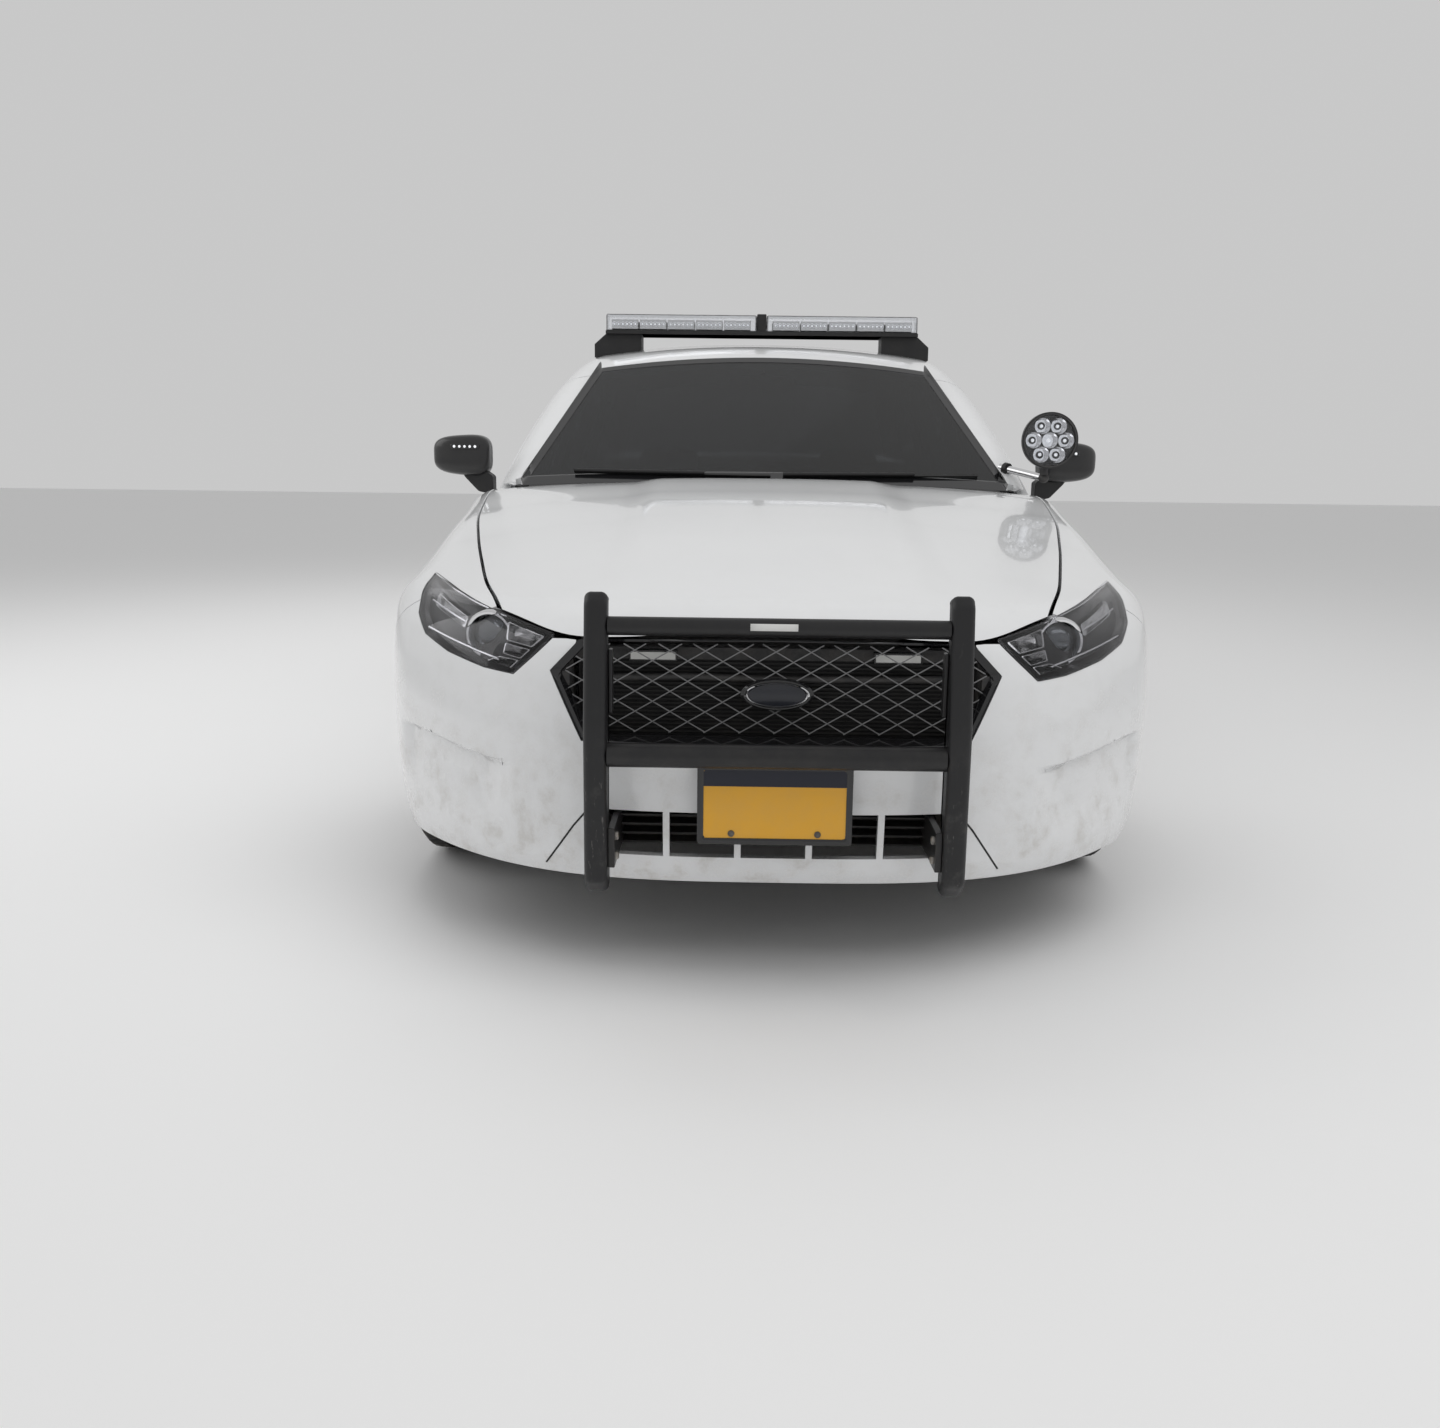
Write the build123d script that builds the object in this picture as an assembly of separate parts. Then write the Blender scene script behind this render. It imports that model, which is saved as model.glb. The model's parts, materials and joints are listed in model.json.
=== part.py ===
from build123d import *
import math
import os

import numpy as np

# A four-door police patrol saloon with a light bar, a push guard and a post-mounted spotlight.
# Millimetres. +X is forward, +Y is the car's left, +Z is up.
# The origin is on the ground under the middle of the overall length, guard included.

# Overall sizes
WHEELBASE = 2868
FRONT_OVERHANG = 1010
REAR_OVERHANG = 1276
GUARD_REACH = 110
HALF_WIDTH = 967
ROOF_HEIGHT = 1574
BELT_HEIGHT = 1035
COWL_HEIGHT = 1044
DECK_HEIGHT = 1138
SILL_BOTTOM = 195
SILL_TOP = 296
EDGE_RADIUS = 60
COWL_SETBACK = 527
HEADER_SETBACK = 763
B_POST_SETBACK = 1680
REAR_HEADER_REACH = 176
DECK_SETBACK = 574

# Walls and clearances
PANEL = 22
HOOD_PANEL = 30
SHUT_GAP = 8
SEAT_GAP = 0.3
GLASS = 6
GLASS_GAP = 0.7
TRIM_Y = 820
POST_Y = 812
DOOR_TAPER = 26
FRAME_DEPTH = 34
RAIL_DEPTH = 52
WINDOW_RAIL = 42
FLOOR_Z = 235
FLOOR_SHEET = 22
FLOOR_HALF = 740

# Wheels and steering
TRACK = 1660
TYRE_RADIUS = 363
TYRE_WIDTH = 245
RIM_RADIUS = 236
RIM_WIDTH = 215
ARCH_RADIUS = 405
WELL_WALL_Y = 490
LINER = 4

LENGTH = GUARD_REACH + FRONT_OVERHANG + WHEELBASE + REAR_OVERHANG
GUARD_X = LENGTH / 2
NOSE_X = GUARD_X - GUARD_REACH
FRONT_AXLE_X = NOSE_X - FRONT_OVERHANG
REAR_AXLE_X = FRONT_AXLE_X - WHEELBASE
TAIL_X = REAR_AXLE_X - REAR_OVERHANG
CABIN_X = FRONT_AXLE_X - COWL_SETBACK
HEADER_X = CABIN_X - HEADER_SETBACK
REAR_HEADER_X = REAR_AXLE_X + REAR_HEADER_REACH
DECK_X = REAR_AXLE_X - DECK_SETBACK
B_POST_X = FRONT_AXLE_X - B_POST_SETBACK
WHEEL_Y = TRACK / 2


def curve(table, column, at):
    """A smooth monotone curve through one column of a table whose first column rises."""
    rows = np.array(table, float)
    xs = rows[:, 0]
    ys = rows[:, column]
    step = np.diff(xs)
    slope = np.diff(ys) / step
    tangent = np.zeros(len(xs))
    same_sign = slope[1:] * slope[:-1] > 0
    harmonic = 2 * slope[1:] * slope[:-1] / np.where(same_sign, slope[1:] + slope[:-1], 1)
    tangent[1:-1] = np.where(same_sign, harmonic, 0)
    tangent[0] = slope[0]
    tangent[-1] = slope[-1]
    at = np.clip(np.asarray(at, float), xs[0], xs[-1])
    span = np.clip(np.searchsorted(xs, at, side="right") - 1, 0, len(step) - 1)
    t = (at - xs[span]) / step[span]
    from_start = ys[span] * (1 + 2 * t) * (1 - t) ** 2 + tangent[span] * step[span] * t * (1 - t) ** 2
    from_end = ys[span + 1] * t**2 * (3 - 2 * t) - tangent[span + 1] * step[span] * t**2 * (1 - t)
    return from_start + from_end


def round_max(gaps, radius):
    """The surface where several surfaces meet, with the edge rounded to a radius."""
    stack = np.stack(np.broadcast_arrays(*gaps))
    over = np.maximum(stack + radius, 0)
    return np.minimum(stack.max(0), -radius) + np.sqrt((over**2).sum(0))


# Plan of the body: x, half width
PLAN = [
    (TAIL_X, HALF_WIDTH - 92),
    (REAR_AXLE_X - 640, HALF_WIDTH - 30),
    (REAR_AXLE_X, HALF_WIDTH - 2),
    (B_POST_X, HALF_WIDTH - 12),
    (FRONT_AXLE_X, HALF_WIDTH),
    (FRONT_AXLE_X + 480, HALF_WIDTH - 27),
    (NOSE_X, HALF_WIDTH - 80),
]
# Tuck of the body side: height, inset from the plan
SIDE = [
    (SILL_BOTTOM - 40, 62),
    (SILL_TOP, 24),
    (450, 7),
    (650, 0),
    (800, 6),
    (930, 24),
    (1040, 46),
    (1160, 78),
]
# Middle line over hood, waist and deck: x, height, drop at the body's edge
TOP = [
    (TAIL_X, DECK_HEIGHT - 62, 48),
    (TAIL_X + 160, DECK_HEIGHT - 8, 42),
    (DECK_X, DECK_HEIGHT, 30),
    (REAR_AXLE_X + 300, BELT_HEIGHT + 58, 30),
    (B_POST_X, BELT_HEIGHT + 22, 30),
    (CABIN_X, COWL_HEIGHT, 36),
    (FRONT_AXLE_X - 200, COWL_HEIGHT - 34, 60),
    (FRONT_AXLE_X + 100, COWL_HEIGHT - 84, 82),
    (FRONT_AXLE_X + 480, COWL_HEIGHT - 160, 88),
    (NOSE_X - 240, COWL_HEIGHT - 224, 80),
    (NOSE_X - 70, COWL_HEIGHT - 276, 60),
    (NOSE_X + 20, COWL_HEIGHT - 340, 50),
]
# Nose seen from the side: height, set back from the nose tip
NOSE = [
    (SILL_BOTTOM - 10, 64),
    (260, 22),
    (400, 5),
    (520, 0),
    (640, 20),
    (720, 55),
    (780, 108),
    (850, 190),
    (950, 330),
]
# Tail seen from the side: height, set forward from the tail tip
TAIL = [
    (SILL_BOTTOM - 10, 80),
    (330, 18),
    (500, 0),
    (650, 4),
    (760, 38),
    (900, 58),
    (1040, 72),
    (1150, 62),
]
# Height that the middle of the hood stands above its sides: x, height
DOME = [
    (CABIN_X - 60, 0),
    (CABIN_X + 60, 13),
    (FRONT_AXLE_X + 300, 12),
    (NOSE_X - 200, 3),
    (NOSE_X, 0),
]


# Extra tuck of the front fender's shoulder: x, amount
SHOULDER = [
    (CABIN_X - 40, 0),
    (CABIN_X + 220, 24),
    (FRONT_AXLE_X + 220, 24),
    (FRONT_AXLE_X + 420, 0),
]
SHOULDER_Z = (750, 850)


def side_y(x, z):
    """Half width of the lower body."""
    rise = np.clip((z - SHOULDER_Z[0]) / (SHOULDER_Z[1] - SHOULDER_Z[0]), 0, 1)
    return curve(PLAN, 1, x) - curve(SIDE, 1, z) - curve(SHOULDER, 1, x) * rise**2 * (3 - 2 * rise)


def top_z(x, y):
    """Height of hood, waist and deck."""
    across = np.clip((430 - np.abs(y)) / 110, 0, 1)
    dome = curve(DOME, 1, x) * across**2 * (3 - 2 * across)
    return curve(TOP, 1, x) + dome - curve(TOP, 2, x) * (np.abs(y) / 870) ** 2.4


def nose_x(y, z):
    """Front face, swept back in plan."""
    return NOSE_X - curve(NOSE, 1, z) - 440 * (np.abs(y) / 900) ** 3.2


def tail_x(y, z):
    """Rear face, swept forward in plan."""
    return TAIL_X + curve(TAIL, 1, z) + 250 * (np.abs(y) / 900) ** 3.4


def lower_body(x, y, z):
    """Negative inside the body below the waist."""
    gaps = [
        np.abs(y) - side_y(x, z),
        z - top_z(x, y),
        x - nose_x(y, z),
        tail_x(y, z) - x,
    ]
    return round_max(gaps, EDGE_RADIUS)


SCREEN_SLOPE = 0.618
SCREEN_FOOT_Z = COWL_HEIGHT - 29
REAR_SLOPE = 0.477
REAR_FOOT_Z = DECK_HEIGHT - 6
# Roof on the middle line: x, height
ROOF = [
    (DECK_X - 40, DECK_HEIGHT + 230),
    (REAR_HEADER_X, ROOF_HEIGHT - 72),
    (REAR_HEADER_X + 330, ROOF_HEIGHT - 20),
    (REAR_HEADER_X + 700, ROOF_HEIGHT),
    (HEADER_X - 220, ROOF_HEIGHT - 40),
    (HEADER_X, ROOF_HEIGHT - 96),
    (HEADER_X + 300, ROOF_HEIGHT - 200),
]
# Foot of the side glass: x, half width
GLASS_FOOT = [
    (DECK_X - 100, 770),
    (REAR_AXLE_X, 850),
    (B_POST_X, 880),
    (CABIN_X - 100, 874),
    (CABIN_X + 100, 866),
]


def belt_z(x):
    """Height of the waist under the side glass."""
    return top_z(x, 870)


def glass_y(x, z):
    """Half width of the cabin above the waist, leaning and curving in."""
    rise = np.asarray(z) - belt_z(x)
    return curve(GLASS_FOOT, 1, x) - 0.25 * rise - 0.00039 * rise**2


def roof_z(x, y):
    """Height of the crowned roof."""
    return curve(ROOF, 1, x) - 46 * (np.abs(y) / 640) ** 2.2


def screen_x(y, z):
    """Windscreen, raked and curved in plan."""
    return CABIN_X - (np.asarray(z) - SCREEN_FOOT_Z) / SCREEN_SLOPE - 92 * (np.abs(y) / 800) ** 2


def rear_screen_x(y, z):
    """Rear window, raked and curved in plan."""
    return DECK_X + (np.asarray(z) - REAR_FOOT_Z) / REAR_SLOPE + 84 * (np.abs(y) / 700) ** 2


def cabin(x, y, z):
    """Negative inside the cabin above the waist."""
    gaps = [
        np.abs(y) - glass_y(x, z),
        z - roof_z(x, y),
        (x - screen_x(y, z)) * 0.5,
        (rear_screen_x(y, z) - x) * 0.4,
    ]
    return round_max(gaps, EDGE_RADIUS)


def cast(field, start, way, reach=1300):
    """The point where a ray from inside leaves the body, found by halving."""
    start = np.stack(np.broadcast_arrays(*start), -1).astype(float)
    way = np.stack(np.broadcast_arrays(*way), -1).astype(float)
    start, way = np.broadcast_arrays(start, way)
    low = np.zeros(start.shape[:-1])
    high = np.full(start.shape[:-1], float(reach))
    for _ in range(32):
        middle = (low + high) / 2
        inside = field(*np.moveaxis(start + way * middle[..., None], -1, 0)) < 0
        low = np.where(inside, middle, low)
        high = np.where(inside, high, middle)
    return start + way * low[..., None]


LOWER_AXIS = (400, 640)
CABIN_AXIS = (250, 1060)
PILLAR_AXIS = (320, 780)


def ring(field, axis, x, angle):
    """The point of a cross-section at x, seen from an axis inside, at an angle above level."""
    return cast(field, (x, axis[0], axis[1]), (0 * angle, np.cos(angle), np.sin(angle)))


def ring_grid(field, axis, x_start, x_end, bottom, top, rows, columns):
    """A skin patch: x runs from x_start(v) to x_end(v), and v from the bottom to the top limit."""
    v = np.linspace(0, 1, columns)
    u = np.linspace(0, 1, rows)[:, None]
    x = x_start(v) * (1 - u) + x_end(v) * u

    def reach(limit):
        low = np.full(x.shape, -1.3)
        high = np.full(x.shape, 2.6)
        for _ in range(24):
            middle = (low + high) / 2
            before = limit(ring(field, axis, x, middle)) < 0
            low = np.where(before, middle, low)
            high = np.where(before, high, middle)
        return low

    low = reach(bottom)
    high = reach(top)
    return ring(field, axis, x, low + (high - low) * v)


def along(value):
    """A patch edge at one x."""
    return lambda v: 0 * v + value


def inward(grid, depth):
    """The grid moved into the body along its normals."""
    normal = np.cross(np.gradient(grid, axis=0), np.gradient(grid, axis=1))
    normal /= np.linalg.norm(normal, axis=-1, keepdims=True)
    row = grid.shape[0] // 2
    column = grid.shape[1] // 2
    middle = grid[row, column]
    outward = middle - np.array([np.clip(middle[0], -1700, 1500), 0, min(middle[2], 700)])
    sign = np.sign(normal[row, column] @ outward)
    return grid - sign * depth * normal


def patch(grid):
    """One smooth face through a grid of points."""
    rows = [[Vector(*point) for point in row] for row in grid]
    return Face.make_surface_from_array_of_points(rows, tol=0.2, smoothing=(1, 1, 1), max_deg=5)


def slab(outer, inner):
    """A closed panel between an outer and an inner grid of the same shape."""
    outside = patch(outer)
    inside = patch(inner)
    rims = []
    for edge in outside.edges():
        partner = min(inside.edges(), key=lambda other: (other @ 0.5 - edge @ 0.5).length)
        rims.append(Face.make_surface_from_curves(edge, partner))
    solid = Solid(Shell([outside, inside] + rims))
    return solid if solid.volume > 0 else slab(outer[::-1], inner[::-1])


def behind_skin(grid, depth=PANEL):
    """The space that a panel's seat must leave free: the skin, its wall and a small clearance."""
    return slab(inward(grid, -160), inward(grid, depth + SEAT_GAP))


def over_skin(grid):
    """The space that a piece resting on a skin must leave free."""
    return slab(inward(grid, -SEAT_GAP), inward(grid, 70))


def whole(half):
    """A grid whose first row lies on the middle line, joined to its mirror image."""
    return np.concatenate([half[:0:-1] * np.array([1, -1, 1]), half])


def opposite(shape):
    """The mirror image on the other side of the car."""
    return mirror(shape, Plane.XZ)


def column_y(points, near=0, far=1300):
    """A prism across the left half from an outline of (x, z) points."""
    face = make_face(Polyline(*[(x, near, z) for x, z in points], close=True))
    return extrude(face, amount=far - near, dir=(0, 1, 0))


def column_x(points, start, end):
    """A prism along the length from an outline of (y, z) points."""
    face = make_face(Polyline(*[(start, y, z) for y, z in points], close=True))
    return extrude(face, amount=end - start, dir=(1, 0, 0))


def box(x, y, z):
    """A block between (low, high) pairs."""
    size = (x[1] - x[0], y[1] - y[0], z[1] - z[0])
    return Pos((x[0] + x[1]) / 2, (y[0] + y[1]) / 2, (z[0] + z[1]) / 2) * Box(*size)


def pair(shape):
    """A left piece with its mirror image, as one shape."""
    return Compound([shape, opposite(shape)])


def drum(x, z, radius, near, far):
    """A cylinder across the left half."""
    return Pos(x, (near + far) / 2, z) * Rot(90, 0, 0) * Cylinder(radius, far - near)


def rod(start, end, radius):
    """A round bar between two points."""
    start = Vector(*start)
    end = Vector(*end)
    plane = Plane(origin=start, z_dir=end - start)
    return extrude(plane * Circle(radius), amount=(end - start).length)


def well(axle_x, radius=ARCH_RADIUS):
    """The round space of a left wheel, open to the outside."""
    return drum(axle_x, TYRE_RADIUS, radius, WELL_WALL_Y, 1300)


# Shut lines of the doors from sill to waist: height, x
FRONT_EDGE = [(SILL_TOP, CABIN_X - 25), (600, CABIN_X - 28), (1060, CABIN_X - 62)]
MIDDLE_EDGE = [(SILL_TOP, B_POST_X + 20), (600, B_POST_X + 14), (1080, B_POST_X - 4), (1500, B_POST_X - 40)]
REAR_EDGE = [
    (SILL_TOP, REAR_AXLE_X + 452),
    (400, REAR_AXLE_X + 448),
    (640, REAR_AXLE_X + 360),
    (800, REAR_AXLE_X + 216),
    (1100, REAR_AXLE_X + 150),
    (1400, REAR_AXLE_X + 150),
]
DOOR_FOOT = SILL_TOP + 4
DOOR_SHOULDER_Y = 896
REAR_WINDOW_END = REAR_AXLE_X + 210


def corner_z(x):
    """Height at which the cabin's side meets the roof or a screen."""
    front = SCREEN_FOOT_Z + (CABIN_X - 80 - x) * SCREEN_SLOPE
    back = REAR_FOOT_Z + (x - DECK_X - 84) * REAR_SLOPE
    return np.minimum(np.minimum(roof_z(x, 690), front), back)


def door_top_z(x):
    """Upper edge of the door frames."""
    return corner_z(np.asarray(x, float)) - RAIL_DEPTH


def top_edge(x_front, x_rear, drop, count=9):
    """Points along the upper edge of the door frames, lowered by a rail."""
    xs = np.linspace(x_front, x_rear, count)
    return [(float(x), float(door_top_z(x)) - drop) for x in xs]


def door_grid(front, rear):
    """The outer skin of the lower half of a door."""
    columns = 9
    rows = 9
    heights = np.linspace(DOOR_FOOT, 1045, columns)

    def edge(table, gap):
        return lambda v: curve(table, 1, np.interp(v, np.linspace(0, 1, columns), heights)) + gap

    return ring_grid(
        lower_body,
        LOWER_AXIS,
        edge(front, -SHUT_GAP / 2),
        edge(rear, SHUT_GAP / 2),
        lambda p: p[..., 2] - DOOR_FOOT,
        lambda p: DOOR_SHOULDER_Y - p[..., 1],
        rows,
        columns,
    )


def door_lower(front, rear):
    """The lower half of a door, from its outer skin to its trim, with edges that taper inward."""
    outer = door_grid(front, rear)
    inner = outer.copy()
    inner[..., 0] += DOOR_TAPER * (2 * np.linspace(0, 1, len(outer))[:, None] - 1)
    inner[..., 1] = TRIM_Y
    return slab(outer, inner)


def side_slab(x_front, x_rear, z_low, z_high, set_in, depth, taper=0):
    """A slab that follows the cabin's side between two depths, its ends along two shut lines."""
    rows = 9
    z = np.linspace(z_low, z_high, 7)[None, :] + np.zeros((rows, 1))
    u = np.linspace(0, 1, rows)[:, None]
    x = x_front(z) * (1 - u) + x_rear(z) * u
    outer = np.stack([x, glass_y(x, z) - set_in, z], -1)
    inner = outer - np.array([0, depth, 0])
    inner[..., 0] += taper * (2 * u - 1)
    return slab(outer, inner)


# Doors: front shut line, rear shut line, front of the frame, end of the frame
DOORS = {
    "front": (FRONT_EDGE, MIDDLE_EDGE, CABIN_X - 62, B_POST_X - 40),
    "rear": (MIDDLE_EDGE, REAR_EDGE, B_POST_X + 40, REAR_AXLE_X + 60),
}


def window_outline(place, grow=0):
    """Outline of a door's window as (x, z) points."""
    if place == "front":
        first, last = CABIN_X - 290, B_POST_X + 62
    else:
        first, last = B_POST_X - 74, REAR_WINDOW_END + 25
    points = top_edge(first + grow, last - grow, WINDOW_RAIL - grow)
    foot = 16 - grow
    points.append((last - grow, float(belt_z(last)) + foot))
    points.append((first + grow, float(belt_z(first)) + foot))
    return points


def door_panel(place):
    """A whole left door: lower half and window frame."""
    front, rear, frame_start, frame_end = DOORS[place]
    lower = door_lower(front, rear)
    upper_gap = 1.5 * SHUT_GAP
    if place == "front":
        start = along(frame_start)
        end = lambda z: curve(rear, 1, z) + SHUT_GAP / 2
        first, last = CABIN_X - 170, B_POST_X - 80
    else:
        start = lambda z: curve(front, 1, z) - SHUT_GAP / 2
        end = along(frame_end)
        first, last = B_POST_X + 60, REAR_WINDOW_END - 62
    frame = side_slab(start, end, 960, 1500, 0, FRAME_DEPTH, taper=10)
    outline = top_edge(first, last, upper_gap)
    outline.append((last, float(belt_z(last)) - 45))
    outline.append((first, float(belt_z(first)) - 45))
    frame = frame & column_y(outline)
    return lower + (frame - column_y(window_outline(place)))


def door_glass(place):
    """The pane of a left door, seated in the window frame."""
    pane = side_slab(along(CABIN_X), along(DECK_X + 300), 990, 1500, FRAME_DEPTH / 2 - GLASS / 2, GLASS)
    return pane & column_y(window_outline(place, -SEAT_GAP))


HOOD_CORNER_X = NOSE_X - 262
# Hood in plan: share of its length from the rear, half width
HOOD_SIDE = [(0, 866), (0.3, 838), (0.5, 790), (0.7, 730), (0.86, 676), (1, 612)]
# Hood edges: share of the half width, x of the rear edge, x of the front edge
HOOD_ENDS = [
    (0, CABIN_X + 22, NOSE_X - 92),
    (0.5, CABIN_X + 8, NOSE_X - 97),
    (0.68, CABIN_X - 10, NOSE_X - 116),
    (0.8, CABIN_X - 22, NOSE_X - 152),
    (1, CABIN_X - 55, HOOD_CORNER_X),
]


def hood_grid(grow=0):
    """The hood's outer skin, cast straight up, its outline grown by a clearance."""
    rows = 15
    columns = 11
    share = np.linspace(0, 1, columns)[:, None]
    u = np.linspace(0, 1, rows)[None, :]
    rear = curve(HOOD_ENDS, 1, share) - grow
    front = curve(HOOD_ENDS, 2, share) + grow
    x = rear + (front - rear) * u
    y = share * (curve(HOOD_SIDE, 1, u) + grow)
    half = cast(lower_body, (x, y, 400), (0, 0, 1))
    return whole(half)


def hood_side_y(x):
    """Half width of the hood at x."""
    rear = CABIN_X - 55
    front = HOOD_CORNER_X
    return curve(HOOD_SIDE, 1, (np.asarray(x) - rear) / (front - rear))


def hood_inside(grid, depth):
    """The hood's inner face at a depth, its front edge turned back under the skin."""
    inner = inward(grid, depth)
    inner[:, -1] = grid[:, -1] - np.array([depth, 0, -2])
    return inner


def hood():
    """The bonnet."""
    grid = hood_grid()
    return slab(grid, hood_inside(grid, HOOD_PANEL))


def hood_space():
    """The space that the hood's neighbours leave free."""
    grid = hood_grid(SHUT_GAP - 1)
    return slab(inward(grid, -60), inward(grid, HOOD_PANEL + SHUT_GAP))


FENDER_FRONT = HOOD_CORNER_X - 14
# Seam between fender and bumper cover in side view, from the lamp down: (x, z)
FENDER_SEAM = [
    (NOSE_X - 474, 786),
    (NOSE_X - 620, 640),
    (NOSE_X - 700, 560),
]
# Headlamp in front view: (y, z)
LAMP = [
    (474, 742),
    (566, 656),
    (640, 662),
    (740, 682),
    (812, 708),
    (846, 748),
    (854, 790),
    (850, 826),
    (724, 800),
    (616, 774),
]
LAMP_DEPTH = 640
LAMP_BODY = 70
LAMP_GRID_BOTTOM = 510
LAMP_FIT = 0.5


def lamp_prism(grow):
    """The left headlamp's outline carried along the length."""
    centre = np.mean(LAMP, axis=0)
    points = []
    for point in LAMP:
        way = np.array(point) - centre
        moved = point + grow * way / np.linalg.norm(way)
        points.append((float(moved[0]), float(moved[1])))
    return column_x(points, NOSE_X - LAMP_DEPTH - grow, NOSE_X + 60)


def fender_grid():
    """The left fender's outer skin."""
    columns = 11
    heights = np.linspace(DOOR_FOOT, 1045, columns)
    return ring_grid(
        lower_body,
        LOWER_AXIS,
        lambda v: curve(FRONT_EDGE, 1, np.interp(v, np.linspace(0, 1, columns), heights)) + SHUT_GAP / 2,
        along(FENDER_FRONT - 6),
        lambda p: p[..., 2] - DOOR_FOOT,
        lambda p: hood_side_y(p[..., 0]) + SHUT_GAP - p[..., 1],
        15,
        columns,
    )


def fender():
    """The left fender."""
    grid = fender_grid()
    skin = slab(grid, inward(grid, PANEL))
    ahead = [(x - SHUT_GAP / 4, z) for x, z in FENDER_SEAM]
    ahead += [(NOSE_X - 700, 150), (NOSE_X + 50, 150), (NOSE_X + 50, 760)]
    return skin - well(FRONT_AXLE_X) - column_y(ahead) - lamp_prism(LAMP_FIT) - hood_space()


FRONT_BOTTOM = SILL_BOTTOM + 26
REAR_BOTTOM = SILL_BOTTOM + 30
# Top of the front skin: distance from the middle line, height
FRONT_TOP = [
    (0, COWL_HEIGHT - 301),
    (300, COWL_HEIGHT - 308),
    (430, COWL_HEIGHT - 315),
    (500, COWL_HEIGHT - 308),
    (612, COWL_HEIGHT - 270),
    (820, COWL_HEIGHT - 200),
    (970, COWL_HEIGHT - 180),
]


def front_grid(bottom, rows=13, columns=9, stop=78):
    """The whole front skin from arch to arch, seen from between the front wheels."""
    share = np.linspace(0, 1, rows)[:, None]
    top = curve(FRONT_TOP, 1, 970 * share)
    z = bottom + (top - bottom) * np.linspace(0, 1, columns)[None, :]
    axis_x = FRONT_AXLE_X + 120
    axis_y = 350
    middle = np.arctan2(nose_x(0, z) - axis_x, -axis_y)
    last = math.radians(90 - stop)
    angle = middle + (last - middle) * share
    half = cast(lower_body, (axis_x, axis_y, z), (np.sin(angle), np.cos(angle), 0 * angle))
    half[0, :, 1] = 0
    return whole(half)


# Grille opening in front view, left half: (y, z)
GRILLE = [(0, 770), (424, 770), (428, 730), (482, 672), (410, 530), (0, 530)]
# Lower opening: half width, bottom, top
LOWER_OPENING = (362, 283, 384)
BAR_YS = (-228, -76, 76, 228)
MESH_X = NOSE_X - 90


def mirrored_outline(points):
    """A closed outline from its left half, whose first and last points lie on the middle line."""
    return points + [(-y, z) for y, z in points[-2:0:-1]]


def bumper_cover():
    """The front bumper cover with its openings and the bars of the lower one."""
    grid = front_grid(FRONT_BOTTOM)
    skin = slab(grid, inward(grid, PANEL))
    start = FRONT_AXLE_X + 300
    end = NOSE_X + 60
    skin -= column_x(mirrored_outline(GRILLE), start, end)
    half, low, high = LOWER_OPENING
    opening = box((start, end), (-half, half), (low, high))
    for y in BAR_YS:
        opening -= box((start, end), (y - 7, y + 7), (low, high))
    skin -= opening
    behind = [(x + SHUT_GAP / 4, z) for x, z in FENDER_SEAM]
    behind += [(NOSE_X - 700, 150), (NOSE_X - 1400, 150), (NOSE_X - 1400, 1000), (NOSE_X + 50, 1000)]
    behind += [(NOSE_X + 50, 766)]
    for cutter in (column_y(behind), lamp_prism(LAMP_FIT), well(FRONT_AXLE_X)):
        skin -= cutter
        skin -= opposite(cutter)
    return skin - hood_space()


def headlamp():
    """The left headlamp as a lens and housing that fill its opening."""
    grid = front_grid(LAMP_GRID_BOTTOM, rows=17, columns=11)
    return (slab(grid, inward(grid, LAMP_BODY)) & lamp_prism(0)) - hood_space()


def screen_grid(surface, foot, head, foot_half, head_half):
    """A window screen's outer skin between a foot and a head edge."""
    share = np.linspace(-1, 1, 11)[:, None]
    u = np.linspace(0, 1, 7)[None, :]
    z = foot(share) + (head(share) - foot(share)) * u
    y = share * (foot_half + (head_half - foot_half) * u)
    return np.stack([surface(y, z), y, z + 0 * y], -1)


SCREEN_FOOT_HALF = 812
SCREEN_HEAD_HALF = 600
SCREEN_HEAD_Z = ROOF_HEIGHT - 96
REAR_FOOT_HALF = 690
REAR_HEAD_HALF = 560
REAR_HEAD_Z = ROOF_HEIGHT - 84


def windshield():
    """The laminated windscreen."""
    grid = screen_grid(
        screen_x,
        lambda s: SCREEN_FOOT_Z + 25 - 22 * s**2,
        lambda s: SCREEN_HEAD_Z - 46 * s**2,
        SCREEN_FOOT_HALF,
        SCREEN_HEAD_HALF,
    )
    return slab(grid, inward(grid, GLASS))


def rear_window():
    """The rear window."""
    grid = screen_grid(
        rear_screen_x,
        lambda s: REAR_FOOT_Z + 8 - 8 * s**2,
        lambda s: REAR_HEAD_Z - 40 * s**2,
        REAR_FOOT_HALF,
        REAR_HEAD_HALF,
    )
    return slab(grid, inward(grid, GLASS))


def roof_grid():
    """The roof's outer skin from rail to rail."""
    half = ring_grid(
        cabin,
        CABIN_AXIS,
        lambda v: HEADER_X + 10 + 26 * (1 - np.clip((v - 0.2) / 0.8, 0, 1)) ** 2,
        lambda v: REAR_HEADER_X + 4 - 35 * (1 - np.clip((v - 0.2) / 0.8, 0, 1)) ** 2,
        lambda p: p[..., 2] - door_top_z(p[..., 0]),
        lambda p: -p[..., 1],
        13,
        11,
    )
    half = np.swapaxes(half, 0, 1)[::-1]
    half[0, :, 1] = 0
    return whole(half)


def roof_inside(grid, depth):
    """The roof's inner skin at a depth, its lower edges kept level with the outer ones."""
    inner = inward(grid, depth)
    inner[[0, -1], :, 2] = grid[[0, -1], :, 2]
    return inner


def roof_panel():
    """The roof with its rails."""
    grid = roof_grid()
    return slab(grid, roof_inside(grid, PANEL))


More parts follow.
